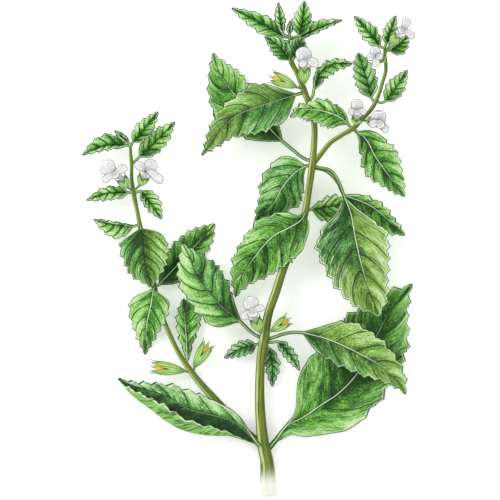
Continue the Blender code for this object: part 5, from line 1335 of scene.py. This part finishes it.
FLOWERS = (
    Flower("middle_flower", (-1.2, 69.8, 10.6), (-3.2, 70.9, 13.4), (-6.2, 78.6, 16.6), 2.7,
           (-6.9, 81.2, 19.4), ((103, 3.5, 3.8), (217, 4.4, 2), (13, 4.2, 1.8), (280, 1, 2.9))),
    Flower("crown_flower", (17.2, 188.4, 23.1), (17.5, 189.6, 26.6), (17.9, 198.4, 29.4), 2.7,
           (18.6, 200.8, 33.2), ((120, 2.6, 3.9), (-30, 4, 2.4), (236, 3.2, 1.9))),
    Flower("fork_flower_left", (41.5, 168.9, 24.1), (42.3, 170.2, 27.4), (42.7, 174.4, 31), 2.3,
           (42.7, 176.6, 33.4), ((90, 2.4, 3), (200, 2.7, 1.8), (-20, 2.7, 1.8), (270, 1.3, 1.8))),
    Flower("fork_flower_right", (45.3, 172.6, 24.8), (47.2, 171.8, 27.4), (50.6, 171.6, 30), 2.2,
           (52.9, 171.8, 32.4), ((95, 0.9, 4.2), (-52, 4.9, 2), (205, 3.4, 2), (-75, 1.7, 2.3))),
    Flower("right_shoot_flower_low", (56.4, 199.4, 27.5), (55.9, 200.2, 30.4), (53.6, 201.8, 32.8), 1.9,
           (51.8, 202.2, 34.6), ((100, 2.3, 2.6), (188, 2.6, 1.9), (272, 3.2, 1.9), (350, 1.8, 1.8))),
    Flower("right_shoot_flower_top", (56.1, 203.2, 27.8), (58.4, 208.4, 31.8), (62.7, 213, 33.4), 2.2,
           (64.8, 215, 35.6), ((72, 3.8, 2.3), (-45, 4.3, 2), (205, 1.6, 2.1))),
    Flower("left_shoot_flower_left", (-64.3, 138.8, 11.8), (-66.6, 140.2, 14.6), (-70.4, 145.6, 17.4), 2.6,
           (-72.9, 147, 20.2), ((139, 4.2, 4), (24, 4.6, 2.2), (219, 4.8, 2), (300, 1, 2.4))),
    Flower("left_shoot_flower_right", (-64.1, 138.6, 11.8), (-61, 141.4, 15.2), (-58.4, 146.6, 18.2), 2.6,
           (-57.6, 148.6, 21), ((153, 4.2, 2.3), (48, 2.8, 3.2), (-38, 4.8, 2.2), (-39, 7.5, 2.3))),
    Flower("crown_fruit", (17, 187.2, 23.4), (13.9, 188, 28.2), (1.2, 193.2, 31.8), 2.9),
    Flower("low_fruit_left", (-35.8, 50.9, 4.1), (-39.6, 52.2, 6.2), (-56.6, 54.4, 8.4), 3),
    Flower("low_fruit_right", (-35.4, 50.6, 4.1), (-35, 54, 6.8), (-27.6, 66.4, 10), 3),
    Flower("middle_fruit", (-0.6, 70.6, 10.8), (2.2, 71.6, 14), (11, 77.6, 18), 2.7),
)


@dataclass
class Sprig:
    """The whole plant: its stems, leaves, tips and flowers, each piece in the place of its node."""

    stems: tuple[Stem, ...] = (MAIN_STEM, LEFT_SHOOT, RIGHT_SHOOT)
    leaves: tuple[Leaf, ...] = LEAVES
    tips: dict[str, tuple[Leaf, ...]] = field(default_factory=lambda: dict(TIP_LEAVES))
    flowers: tuple[Flower, ...] = FLOWERS
    finishes: dict[str, bpy.types.Material] = field(default_factory=dict)

    def dress(self) -> None:
        """Make the finishes."""
        self.finishes = {
            Kind.GREEN.value: BladeFinish("leaf_blade").material(),
            Kind.DARK.value: BladeFinish("dark_leaf_blade", DARK_GREEN).material(),
            Kind.YOUNG.value: BladeFinish("young_leaf_blade", YOUNG_GREEN).material(),
            "stem": StemFinish().material(),
            "calyx": CalyxFinish().material(),
            "petal": PetalFinish().material(),
            "nutlet": NutletFinish().material(),
        }

    def add(self, shell: Shell, node: str, slot: str) -> None:
        """Put a shell in the place of a node, and report it."""
        piece = shell.piece(node + "_look", self.finishes[slot])
        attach(piece, BODY)
        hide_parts(node)
        log.info("%s: %d points, %d faces", piece.name, len(shell.points), len(shell.faces))

    def build(self) -> None:
        """Build every piece."""
        self.dress()
        for stem in self.stems:
            self.add(stem.shell(), stem.node, "stem")
        for leaf in self.leaves:
            self.add(leaf.shell(), leaf.node, leaf.kind.value)
        for node, leaves in self.tips.items():
            self.add(Shell.joined([leaf.shell() for leaf in leaves]), node, Kind.YOUNG.value)
        for flower in self.flowers:
            self.add(flower.calyx(), flower.name + "_calyx", "calyx")
            if flower.lobes:
                self.add(flower.corolla(), flower.name + "_corolla", "petal")
            else:
                self.add(flower.nutlets(), flower.name + "_nutlets", "nutlet")


@dataclass
class Studio:
    """The pale floor, the soft light and the camera that looks straight down on the sprig."""

    aim: Point = (-8.16, 110.4, 12.0)
    frame_width: float = 240.0
    lens: float = 300.0
    sensor: float = 36.0
    floor_half: float = 6.0
    sky: float = 0.84

    def light(self, name: str, place: Point, size: float, watts: float) -> None:
        """Add a square soft light at a place in metres, aimed at the sprig's middle."""
        data = bpy.data.lights.new(name, "AREA")
        data.size = size
        data.energy = watts
        lamp = bpy.data.objects.new(name, data)
        back = Vector(place) - Vector(self.aim) * MM
        lamp.location = place
        lamp.rotation_euler = back.to_track_quat("Z", "Y").to_euler()
        bpy.context.scene.collection.objects.link(lamp)

    def build(self) -> None:
        """Build the floor, the lights, the sky and the camera."""
        half = self.floor_half
        mesh = bpy.data.meshes.new("floor")
        places = [(-half, -half, 0), (half, -half, 0), (half, half, 0), (-half, half, 0)]
        mesh.from_pydata(places, [], [(0, 1, 2, 3)])
        mesh.materials.append(FloorFinish().material())
        floor = bpy.data.objects.new("floor", mesh)
        bpy.context.scene.collection.objects.link(floor)
        self.light("key", (-0.9, 0.75, 1.3), 0.9, 10.5)
        self.light("fill", (1.1, -0.5, 1.2), 1.2, 4.5)
        bpy.context.scene.view_settings.view_transform = "Standard"
        world = bpy.data.worlds.new("sky")
        world.use_nodes = True
        world.node_tree.nodes["Background"].inputs["Color"].default_value = (1.0, 1.0, 1.0, 1.0)
        world.node_tree.nodes["Background"].inputs["Strength"].default_value = self.sky
        bpy.context.scene.world = world
        data = bpy.data.cameras.new("camera")
        data.lens = self.lens
        data.sensor_width = self.sensor
        data.clip_end = 50.0
        camera = bpy.data.objects.new("camera", data)
        distance = self.lens * self.frame_width / self.sensor * MM
        camera.location = (self.aim[0] * MM, self.aim[1] * MM, self.aim[2] * MM + distance)
        bpy.context.scene.collection.objects.link(camera)
        bpy.context.scene.camera = camera


def main() -> None:
    """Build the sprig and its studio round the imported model."""
    logging.basicConfig(level=logging.INFO, format="%(message)s")
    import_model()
    Sprig().build()
    Studio().build()
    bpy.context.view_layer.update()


if __name__ == "__main__":
    main()
